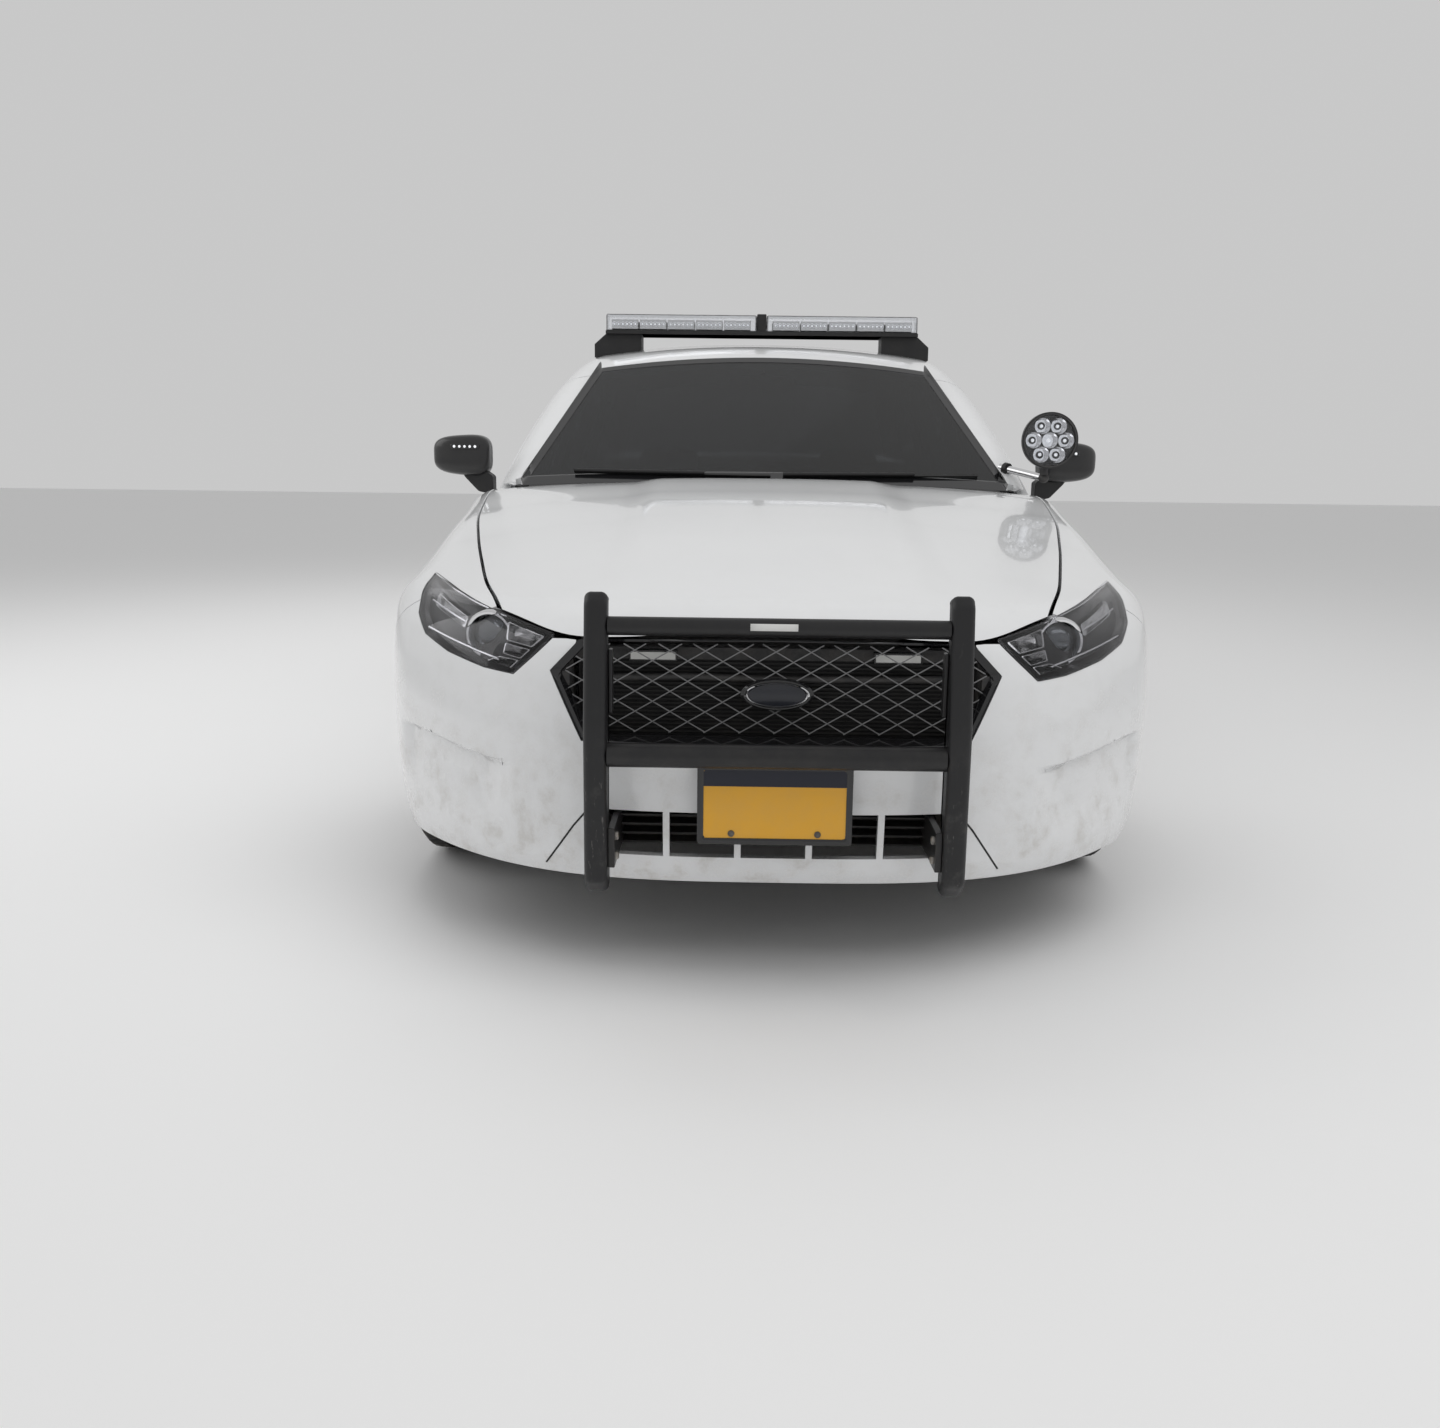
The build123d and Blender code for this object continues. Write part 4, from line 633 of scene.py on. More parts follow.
class Shader:
    """A node material under construction."""

    def __init__(self, name: str, world: bpy.types.World | None = None) -> None:
        """Makes an empty material with a Principled shader and its output, or takes a world's nodes."""
        if world is not None:
            world.use_nodes = True
            self.tree = world.node_tree
            return
        self.material = bpy.data.materials.new(name)
        self.material.use_nodes = True
        self.tree = self.material.node_tree
        self.tree.nodes.clear()
        self.principled = self.tree.nodes.new("ShaderNodeBsdfPrincipled")
        output = self.tree.nodes.new("ShaderNodeOutputMaterial")
        self.tree.links.new(self.principled.outputs[0], output.inputs[0])

    def put(self, target: bpy.types.NodeSocket, value: object) -> None:
        """Links a wrapped socket, or sets a plain value, on an input."""
        if isinstance(value, Wire):
            self.tree.links.new(value.socket, target)
        else:
            target.default_value = value

    def node(
        self,
        kind: str,
        settings: dict[str, object] | None = None,
        inputs: dict[str | int, object] | None = None,
        output: str | int = 0,
    ) -> Wire:
        """Adds one node.

        Args:
            kind: the node's type without the ShaderNode prefix.
            settings: properties set first.
            inputs: values or wires by socket name or number.
            output: the socket that is returned.

        Returns:
            The chosen output as a wire.
        """
        made = self.tree.nodes.new("ShaderNode" + kind)
        for key, value in (settings or {}).items():
            setattr(made, key, value)
        for key, value in (inputs or {}).items():
            self.put(made.inputs[key], value)
        return Wire(self, made.outputs[output])

    def place(self) -> Wire:
        """The point on the object."""
        return self.node("TexCoord", output="Object")

    def noise(self, scale: float, detail: float = 3.0, rough: float = 0.55, at: Wire | None = None) -> Wire:
        """Noise from 0 to 1 at a scale per metre."""
        inputs = {"Vector": at or self.place(), "Scale": scale, "Detail": detail, "Roughness": rough}
        return self.node("TexNoise", {}, inputs, "Fac")

    def band(self, value: Wire, low: float, high: float) -> Wire:
        """A smooth step of a value from 0 at low to 1 at high."""
        settings = {"interpolation_type": "SMOOTHSTEP"}
        return self.node("MapRange", settings, {"Value": value, "From Min": low, "From Max": high})

    def blend(self, share: Wire | float, first: Wire | Colour, second: Wire | Colour) -> Wire:
        """Mixes two colours."""
        first, second = (opaque(value) for value in (first, second))
        return self.node("Mix", {"data_type": "RGBA"}, {0: share, 6: first, 7: second}, 2)

    def height(self) -> Wire:
        """The height of the point on the object."""
        return self.node("SeparateXYZ", {}, {0: self.place()}, "Z")

    def bump(self, height: Wire, distance: float, strength: float = 1.0) -> None:
        """Feeds a height into the shader's normal."""
        inputs = {"Height": height, "Distance": distance, "Strength": strength}
        self.put(self.principled.inputs["Normal"], self.node("Bump", {}, inputs))

    def set(self, **values: object) -> None:
        """Sets the shader's sockets; an underscore in a name stands for a blank."""
        for key, value in values.items():
            self.put(self.principled.inputs[key.replace("_", " ")], opaque(value))


@dataclass(frozen=True)
class Wire:
    """A socket whose operators add Math nodes."""

    shader: Shader
    socket: bpy.types.NodeSocket

    def _math(self, operation: str, first: object, second: object) -> Wire:
        """One Math node."""
        return self.shader.node("Math", {"operation": operation}, {0: first, 1: second})

    def __add__(self, other: object) -> Wire:
        """Sum."""
        return self._math("ADD", self, other)

    __radd__ = __add__

    def __sub__(self, other: object) -> Wire:
        """Difference."""
        return self._math("SUBTRACT", self, other)

    def __rsub__(self, other: object) -> Wire:
        """Difference from a number."""
        return self._math("SUBTRACT", other, self)

    def __mul__(self, other: object) -> Wire:
        """Product."""
        return self._math("MULTIPLY", self, other)

    __rmul__ = __mul__

    def low(self, other: object) -> Wire:
        """The smaller of two."""
        return self._math("MINIMUM", self, other)


@dataclass(frozen=True)
class Finish:
    """A plain finish: colour, gloss and a fine grain."""

    name: str
    colour: Colour
    roughness: float = 0.5
    metallic: float = 0.0
    coat: float = 0.0
    vary: float = 0.08
    grain: float = 300.0
    depth: float = 0.0002
    dust: float = 0.0

    def make(self) -> bpy.types.Material:
        """Builds the material: colour and roughness drift with coarse noise, the grain is bump."""
        shader = Shader(self.name)
        drift = shader.noise(7, 4)
        dark = tuple(max(0.0, part * (1 - self.vary)) for part in self.colour)
        light = tuple(min(1.0, part * (1 + self.vary)) for part in self.colour)
        colour = shader.blend(drift, dark, light)
        if self.dust:
            low = 1 - shader.band(shader.height(), 0.15, 0.75)
            film = shader.band(shader.noise(18, 6, 0.7), 0.3, 0.75) * (low * 0.8 + 0.2) * self.dust
            colour = shader.blend(film, colour, (0.36, 0.32, 0.27))
        shader.set(Base_Color=colour, Metallic=self.metallic, Coat_Weight=self.coat)
        shader.set(Roughness=drift * 0.12 + (self.roughness - 0.06))
        if self.depth:
            shader.bump(shader.noise(self.grain, 3), self.depth)
        return shader.material


@dataclass(frozen=True)
class Glass:
    """Clear or tinted glass."""

    name: str
    tint: Colour
    rough: float = 0.02
    index: float = 1.45

    def make(self) -> bpy.types.Material:
        """Builds a transmitting material with faint smears in its gloss."""
        shader = Shader(self.name)
        shader.set(Base_Color=self.tint, Transmission_Weight=1.0, IOR=self.index)
        shader.set(Roughness=shader.band(shader.noise(5, 5), 0.35, 0.9) * 0.06 + self.rough)
        return shader.material


@dataclass(frozen=True)
class Light:
    """A glowing or bright lamp part."""

    name: str
    colour: Colour
    strength: float = 0.0

    def make(self) -> bpy.types.Material:
        """Builds an emissive gloss material."""
        shader = Shader(self.name)
        shader.set(Base_Color=self.colour, Roughness=0.15, Emission_Color=self.colour)
        shader.set(Emission_Strength=self.strength)
        return shader.material


def paint() -> bpy.types.Material:
    """White body paint: clear coat, a dust film that thickens downwards, fine orange peel."""
    shader = Shader("white_body_paint")
    height = shader.height()
    low = 1 - shader.band(height, 0.2, 0.75)
    film = shader.band(shader.noise(16, 7, 0.68), 0.42, 0.8) * (low * 0.5 + 0.05)
    white = shader.blend(shader.noise(3, 3), (0.80, 0.81, 0.82), (0.85, 0.855, 0.86))
    shader.set(Base_Color=shader.blend(film, white, (0.42, 0.38, 0.32)))
    shader.set(Roughness=film * 0.5 + 0.24, Coat_Weight=1 - film, Coat_Roughness=0.04)
    shader.bump(shader.noise(420, 2), 0.00006)
    return shader.material


def worn_coat() -> bpy.types.Material:
    """Black powder coat, rubbed grey and scratched on the uprights' outer faces."""
    shader = Shader("worn_coat")
    height = shader.height()
    stretched = shader.node("Mapping", {}, {"Vector": shader.place(), "Scale": (1.0, 1.0, 0.22)})
    scratch = shader.band(shader.noise(150, 5, 0.6, stretched), 0.62, 0.72)
    patch = shader.band(shader.noise(14, 6, 0.7), 0.5, 0.72)
    low = 1 - shader.band(height, 0.35, 0.62)
    wear = (scratch * 0.6 + patch * 0.22) * (low * 0.8 + 0.08)
    shader.set(Base_Color=shader.blend(wear, (0.008, 0.008, 0.009), (0.2, 0.19, 0.18)))
    shader.set(Roughness=wear * 0.3 + 0.42)
    shader.bump(shader.noise(900, 3), 0.0003)
    return shader.material


class Stock:
    """The finishes by name, each made once."""

    def __init__(self) -> None:
        """Makes all the finishes."""
        clear = (0.97, 0.98, 1.0)
        looks = [
            Finish("black_plastic", (0.012, 0.012, 0.013), 0.5, grain=900, depth=0.0003, dust=0.1),
            Finish("gloss_black", (0.01, 0.01, 0.011), 0.12, coat=0.4, depth=0),
            Finish("interior_plastic", (0.035, 0.035, 0.038), 0.6, grain=700, depth=0.0004),
            Finish("dark_metal", (0.07, 0.07, 0.072), 0.55, metallic=0.7, grain=60, depth=0.0008, dust=0.5),
            Finish("underbody", (0.05, 0.05, 0.052), 0.75, grain=120, depth=0.001, dust=0.6),
            Finish("bare_steel", (0.45, 0.43, 0.4), 0.35, metallic=1, grain=90, dust=0.35),
            Finish("aluminium", (0.62, 0.62, 0.63), 0.35, metallic=1, grain=200),
            Finish("chrome", (0.75, 0.75, 0.76), 0.06, metallic=1, vary=0.02, depth=0),
            Finish("wheel_metal", (0.2, 0.2, 0.21), 0.4, metallic=0.6, grain=150, dust=0.35),
            Finish("tyre_rubber", (0.014, 0.014, 0.014), 0.75, grain=500, depth=0.0004, dust=0.2),
            # Rubber for the wiper blades; on the valance seams the same black is painted shadow of the gaps.
            Finish("soft_rubber", (0.012, 0.012, 0.012), 0.6, grain=400),
            Finish("seat_cloth", (0.06, 0.06, 0.065), 0.9, grain=1400, depth=0.0006),
            Finish("powder_coat", (0.008, 0.008, 0.009), 0.36, grain=1200, depth=0.0002, dust=0.06),
            Finish("mirror_black", (0.012, 0.012, 0.013), 0.3, coat=0.3, grain=900, depth=0.0001, dust=0.1),
            Finish("lamp_grey", (0.014, 0.013, 0.013), 0.35, depth=0),
            Finish("lamp_dark", (0.012, 0.012, 0.013), 0.3, depth=0),
            Finish("lamp_eye", (0.10, 0.11, 0.12), 0.04, metallic=0.7, coat=1.0, vary=0.02, depth=0),
            Finish("lamp_red", (0.32, 0.006, 0.008), 0.08, coat=1.0, vary=0.05, depth=0),
            Finish("lamp_silver", (0.6, 0.6, 0.6), 0.18, metallic=1.0, vary=0.04, depth=0),
            Finish("wire_grey", (0.24, 0.24, 0.245), 0.45, metallic=0.3, grain=300, dust=0.2),
            Finish("cooler", (0.008, 0.008, 0.009), 0.7, grain=250, depth=0.001, dust=0.1),
            Finish("cooler_tube", (0.03, 0.03, 0.03), 0.55, 0.5, grain=220, depth=0.0008, dust=0.12),
            Finish("badge_dark", (0.012, 0.014, 0.022), 0.25, coat=0.3, depth=0),
            Finish("label_white", (0.72, 0.72, 0.7), 0.5, vary=0.05, grain=500, dust=0.1),
            Finish("plate_yellow", (0.82, 0.42, 0.03), 0.4, vary=0.04, grain=60, depth=0.0001, dust=0.12),
            Finish("plate_blue", (0.006, 0.008, 0.02), 0.4, vary=0.1, grain=60, depth=0.0001),
            Finish("led_lens", (0.6, 0.6, 0.58), 0.25, vary=0.1, grain=200),
            # The windows' near-black tint is partly their own tint and partly a painted dark reflection on the glass.
            Glass("window_glass", (0.05, 0.055, 0.06)),
            Glass("clear_lens", clear),
            Glass("lamp_lens", (0.80, 0.80, 0.82), 0.01, 1.28),
            Glass("bar_clear", clear, 0.05),
            Light("led_white", (0.9, 0.92, 0.95), 0.5),
        ]
        self.all = {look.name: look.make() for look in looks}
        self.all["white_paint"] = paint()
        self.all["worn_coat"] = worn_coat()

    def __getitem__(self, name: str) -> bpy.types.Material:
        """The finish of a name."""
        return self.all[name]


SLOTS = {
    "clear_lens": ("lamp_lens", "lamp_eye", "led_lens", "led_white", "bar_clear"),
    "red_lens": ("lamp_red",),
    "lamp_metal": ("lamp_silver", "chrome"),
    "wheel_metal": ("aluminium",),
    "bare_aluminium": ("cooler_tube",),
    "guard_paint": ("worn_coat", "powder_coat"),
    "plate_paint": ("plate_yellow", "plate_blue"),
    "white_paint": ("label_white",),
    "seat_fabric": ("seat_cloth",),
    "tyre": ("tyre_rubber",),
    "black_plastic": (
        "lamp_grey",
        "lamp_dark",
        "gloss_black",
        "wire_grey",
        "badge_dark",
        "cooler",
        "mirror_black",
        "soft_rubber",
    ),
}
SLOT_OF = {finish: slot for slot, finishes in SLOTS.items() for finish in finishes}


@dataclass
class Workshop:
    """What every sub-assembly needs: the frame and the finishes."""

    frame: dict
    stock: Stock
    merge: float = 1e-5
    degenerate: float = 1e-6
    frame_merge: float = 2e-5
    flat: float = 1
    frame_sharp: float = 30

    def dress(self, node: str, finish: str) -> None:
        """Gives a frame node a finish in all its slots."""
        for slot in self.frame["nodes"][node].material_slots:
            slot.material = self.stock[finish]

    def add(
        self,
        name: str,
        form: Form,
        finish: str,
        *nodes: str,
        body: str = "body",
        slot: str | None = None,
        bevel: float = 0.0,
        thickness: float = 0.0,
        sharp: float = 35.0,
    ) -> bpy.types.Object:
        """Makes a piece from a form.

        Args:
            name: the piece's name.
            form: its points and faces.
            finish: the name of its material.
            nodes: the frame nodes it stands for.
            body: the body it rides on.
            slot: the record's material slot, if it isn't the finish's own.
            bevel: width of a bevel on its sharp edges, in millimetres.
            thickness: thickness of a sheet, laid inwards, in millimetres.
            sharp: the angle above which edges stay sharp, in degrees.

        Returns:
            The new object.
        """
        data = bpy.data.meshes.new(name)
        data.from_pydata((form.points * MM).tolist(), [], form.faces)
        work = bmesh.new()
        work.from_mesh(data)
        bmesh.ops.remove_doubles(work, verts=work.verts, dist=self.merge)
        bmesh.ops.dissolve_degenerate(work, edges=work.edges, dist=self.degenerate)
        if not thickness:
            bmesh.ops.recalc_face_normals(work, faces=work.faces)
        work.to_mesh(data)
        work.free()
        made = self.polish(data, bevel, thickness, sharp)
        self.enter(made, finish, body, *nodes, slot=slot)
        return made

    def polish(self, data: bpy.types.Mesh, bevel: float, thickness: float, sharp: float) -> bpy.types.Object:
        """Shades a mesh and makes an object of it with its thickness and bevel."""
        made = bpy.data.objects.new(data.name, data)
        data.polygons.foreach_set("use_smooth", [True] * len(data.polygons))
        data.set_sharp_from_angle(angle=math.radians(sharp))
        if thickness:
            solid = made.modifiers.new("thickness", "SOLIDIFY")
            solid.thickness = thickness * MM
            solid.offset = -1
        if bevel:
            edge = made.modifiers.new("edges", "BEVEL")
            edge.width = bevel * MM
            edge.segments = 2
            edge.limit_method = "ANGLE"
            edge.angle_limit = math.radians(sharp)
            edge.harden_normals = True
        return made

    def refine(self, node: str, finish: str, body: str = "body", bevel: float = 1.5) -> None:
        """Replaces a frame node with a merged, bevelled and smoothly shaded copy of its own mesh."""
        data = self.frame["nodes"][node].data.copy()
        data.name = node + "_fine"
        work = bmesh.new()
        work.from_mesh(data)
        bmesh.ops.remove_doubles(work, verts=work.verts, dist=self.frame_merge)
        flat = math.radians(self.flat)
        bmesh.ops.dissolve_limit(work, angle_limit=flat, verts=work.verts, edges=work.edges)
        work.to_mesh(data)
        work.free()
        self.enter(self.polish(data, bevel, 0, self.frame_sharp), finish, body, node)

    def enter(
        self,
        made: bpy.types.Object,
        finish: str,
        body: str,
        *nodes: str,
        slot: str | None = None,
    ) -> None:
        """Links a piece, paints it, rides it on a body, names its slot and the nodes it stands for."""
        bpy.context.collection.objects.link(made)
        made.data.materials.clear()
        made.data.materials.append(self.stock[finish])
        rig.ride(made, body)
        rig.slot(made, slot or SLOT_OF.get(finish, finish))
        if nodes:
            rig.replaces(made, *nodes)
        LOG.info("%s: %d faces on %s", made.name, len(made.data.polygons), body)


@dataclass
class SkinPanel:
    """A body panel: the frame's solid with its outer faces divided and pressed onto the smooth skin."""

    shop: Workshop
    node: str
    body: str
    finish: str = "white_paint"
    fields: tuple[Field, ...] = (lower_body,)
    pressed: tuple[Field, ...] = ()
    longest: float = 0.035
    reach: float = 9.0
    rounds: int = 5
    along: float = 0.9
    newton_steps: int = 4

    def slope(self, surface: Field, points: Array) -> Array:
        """The field's unit slope at points."""
        slope = gradient(surface, points)
        return slope / (np.linalg.norm(slope, axis=1, keepdims=True) + TINY)

    def matched(self, points: Array, normals: Array, corners: Array) -> Array:
        """Chooses for every face the field whose skin it lies on.

        A face lies on a skin when all its corners are within reach of it and it faces along the field's
        slope.

        Args:
            points: vertex places in millimetres.
            normals: face normals.
            corners: three vertex numbers for each face.

        Returns:
            The field's number for each face, or -1.
        """
        chosen = np.full(len(corners), -1)
        middle = points[corners].mean(1)
        for number, surface in enumerate(self.fields):
            near = (np.abs(surface(*points.T)) < self.reach)[corners].all(1)
            slope = self.slope(surface, middle)
            facing = (slope * normals).sum(1) > self.along
            chosen = np.where((chosen < 0) & near & facing, number, chosen)
        return chosen

    def build(self) -> bpy.types.Object:
        """Makes the fine panel."""
        work = bmesh.new()
        work.from_mesh(self.shop.frame["nodes"][self.node].data)
        bmesh.ops.remove_doubles(work, verts=work.verts, dist=self.shop.frame_merge)
        bmesh.ops.triangulate(work, faces=work.faces)
        work.faces.ensure_lookup_table()
        work.verts.index_update()
        points = np.array([v.co for v in work.verts]) / MM
        normals = np.array([f.normal for f in work.faces])
        corners = np.array([[v.index for v in f.verts] for f in work.faces])
        chosen = self.matched(points, normals, corners)
        layer = work.faces.layers.int.new("skin")
        for face, number in zip(work.faces, chosen.tolist()):
            face[layer] = number + 1
        for _ in range(self.rounds):
            long_edges = (edge for edge in work.edges if edge.calc_length() > self.longest)
            edges = [edge for edge in long_edges if any(face[layer] for face in edge.link_faces)]
            if not edges:
                break
            bmesh.ops.subdivide_edges(work, edges=edges, cuts=1, use_grid_fill=True)
            bmesh.ops.triangulate(work, faces=[f for f in work.faces if len(f.verts) > 3])
        data = bpy.data.meshes.new(self.node + "_skin")
        work.to_mesh(data)
        work.free()
        return self.press(data)

    def press(self, data: bpy.types.Mesh) -> bpy.types.Object:
        """Presses the skin's points onto their field by Newton steps and gives them its normals."""
        count = len(data.vertices)
        points = np.empty(count * 3)
        data.vertices.foreach_get("co", points)
        points = points.reshape(-1, 3) / MM
        loops = np.empty(len(data.loops), int)
        data.loops.foreach_get("vertex_index", loops)
        loops = loops.reshape(-1, 3)
        marks = np.empty(len(data.polygons), int)
        data.attributes["skin"].data.foreach_get("value", marks)
        flat = np.empty(len(data.polygons) * 3)
        data.polygons.foreach_get("normal", flat)
        normals = np.repeat(flat.reshape(-1, 1, 3), 3, 1)
        for number, surface in enumerate(self.pressed or self.fields):
            mine = marks == number + 1
            used = np.unique(loops[mine])
            if not len(used):
                continue
            spot = points[used]
            for _ in range(self.newton_steps):
                slope = gradient(surface, spot)
                spot = spot - slope * (surface(*spot.T) / ((slope**2).sum(1) + TINY))[:, None]
            points[used] = spot
            full = np.zeros((count, 3))
            full[used] = self.slope(surface, spot)
            normals[mine] = full[loops[mine]]
        data.vertices.foreach_set("co", (points * MM).ravel())
        data.polygons.foreach_set("use_smooth", [True] * len(data.polygons))
        data.update()
        data.normals_split_custom_set(normals.reshape(-1, 3))
        made = bpy.data.objects.new(data.name, data)
        self.shop.enter(made, self.finish, self.body, self.node)
        return made


@dataclass
class BodyShell:
    """All painted panels and the glass."""

    shop: Workshop
    pocket_edge: float = 0.012
    pocket_rounds: int = 8

    def build(self) -> None:
        """Makes every panel."""
        shop = self.shop
        pocket = {"pressed": (bumper_skin,), "longest": self.pocket_edge, "rounds": self.pocket_rounds}
        panels = [
            SkinPanel(shop, "hood", "hood"),
            SkinPanel(shop, "trunk_lid", "trunk_lid"),
            SkinPanel(shop, "front_bumper_cover", "body", **pocket),
            SkinPanel(shop, "rear_bumper_cover", "body"),
            SkinPanel(shop, "roof_panel", "body", fields=(cabin,)),
            SkinPanel(shop, "tail_lamps", "body", "lamp_red"),
        ]
        for side in Side:
            for node in ("fender", "side_frame"):
                panels.append(SkinPanel(shop, f"{node}_{side.word}", "body", fields=(lower_body, cabin)))
            for name in (f"door_front_{side.word}", f"door_rear_{side.word}"):
                panels.append(SkinPanel(shop, name, name, fields=(lower_body, cabin_side)))
        for panel in panels:
            panel.build()
        # The window glass is tinted near black: partly its own tint, partly a painted dark reflection.
        for node in ("windshield", "rear_window"):
            shop.dress(node, "window_glass")
        for side in Side:
            for place in ("front", "rear"):
                shop.dress(f"glass_{place}_{side.word}", "window_glass")


@dataclass
class Headlamp:
    """A headlamp: clear lens on the skin, housing, projector with its ring, and reflector cells.

    Outline, cells and strips are places in the front view. A step is a share of the outline's size and a
    depth behind the skin.
    """

    shop: Workshop
    side: Side
    centre: Pair = (672, 733)
    projector: Spot = (2246, 641, 722)
    ahead: Spot = (1, 0.12, 0.0)
    corner: float = 9
    cell_corner: float = 4
    lens_wall: float = 2.4
    bowl_wall: float = 1.5
    strip_depth: float = 17
    strip_radius: float = 2.6
    outline: Outline = (
        (474, 742),
        (566, 656),
        (640, 662),
        (740, 682),
        (812, 708),
        (846, 748),
        (854, 790),
        (850, 826),
        (724, 800),
        (616, 774),
    )
    cells: Sequence[Outline] = (
        ((500, 735), (527, 712), (590, 722), (592, 758)),
        ((531, 707), (553, 687), (596, 694), (592, 716)),
        ((557, 683), (575, 666), (634, 676), (600, 688)),
        ((696, 756), (700, 734), (800, 768), (800, 792)),
    )
    strips: Sequence[Outline] = (
        ((598, 766), (834, 818)),
        ((700, 746), (812, 776)),
        ((604, 680), (806, 722)),
    )
    bowl: Outline = ((0.992, 2), (0.985, 20), (0.96, 44), (0.9, 62), (0.5, 66), (0, 66))
    lip: Outline = ((1.0, 3.5), (0.975, 4.5), (0.965, 9), (0.985, 12))
    cup: Outline = ((1.0, 50), (1.0, 14), (0.9, 13), (0.62, 40), (0.0, 44))
    ring: Outline = ((43, -26), (44, 10), (47, 17), (52, 18), (56, 12), (57, -26))
    eye: Outline = ((0, 15), (13, 14), (26, 9), (36, 1), (41, -8), (41, -22), (0, -22))

    def add(self, name: str, form: Form, finish: str, *nodes: str, thickness: float = 0.0) -> None:
        """Adds one piece of the lamp on its side."""
        self.shop.add(f"{name}_{self.side.word}", form.on(self.side), finish, *nodes, thickness=thickness)

    def rings(self, rim: Array, centre: Array, steps: Iterable[Pair]) -> Array:
        """Rings from a rim towards a centre, one for each step."""
        return np.array([on_front(centre + (rim - centre) * share, -depth) for share, depth in steps])

    def build(self) -> None:
        """Makes the lamp."""
        rim = even(rounded(self.outline, self.corner), 160)
        centre = np.array(self.centre)
        face = [(1, 1.4), (0.985, 0.6)] + [(share, 0.6) for share in np.linspace(0.94, 0, 13)]
        lens = sheet(self.rings(rim, centre, face), loop_v=True)
        wall = self.lens_wall * self.side.value
        self.add("headlamp_lens", lens, "lamp_lens", "headlamps", thickness=wall)
        bowl = sheet(self.rings(rim, centre, self.bowl), loop_v=True)
        self.add("headlamp_housing", bowl, "lamp_grey", thickness=self.bowl_wall * self.side.value)
        trim = sheet(self.rings(rim, centre, self.lip), loop_u=True, loop_v=True)
        self.add("headlamp_trim", trim, "lamp_dark")
        cups = []
        for cell in self.cells:
            edge = even(rounded(cell, self.cell_corner), 48)
            cups.append(sheet(self.rings(edge, edge.mean(0), self.cup), loop_v=True))
        self.add("headlamp_cells", join(cups), "lamp_silver")
        self.add("headlamp_ring", turned(self.ring, self.projector, self.ahead, 64), "chrome")
        self.add("headlamp_projector", turned(self.eye, self.projector, self.ahead), "lamp_eye")
        share = np.linspace(0, 1, 24)[:, None]
        lines = []
        for low, high in np.array(self.strips, float):
            lines.append(tube(on_front(low + (high - low) * share, -self.strip_depth), self.strip_radius, 8))
        self.add("headlamp_strips", join(lines), "chrome")


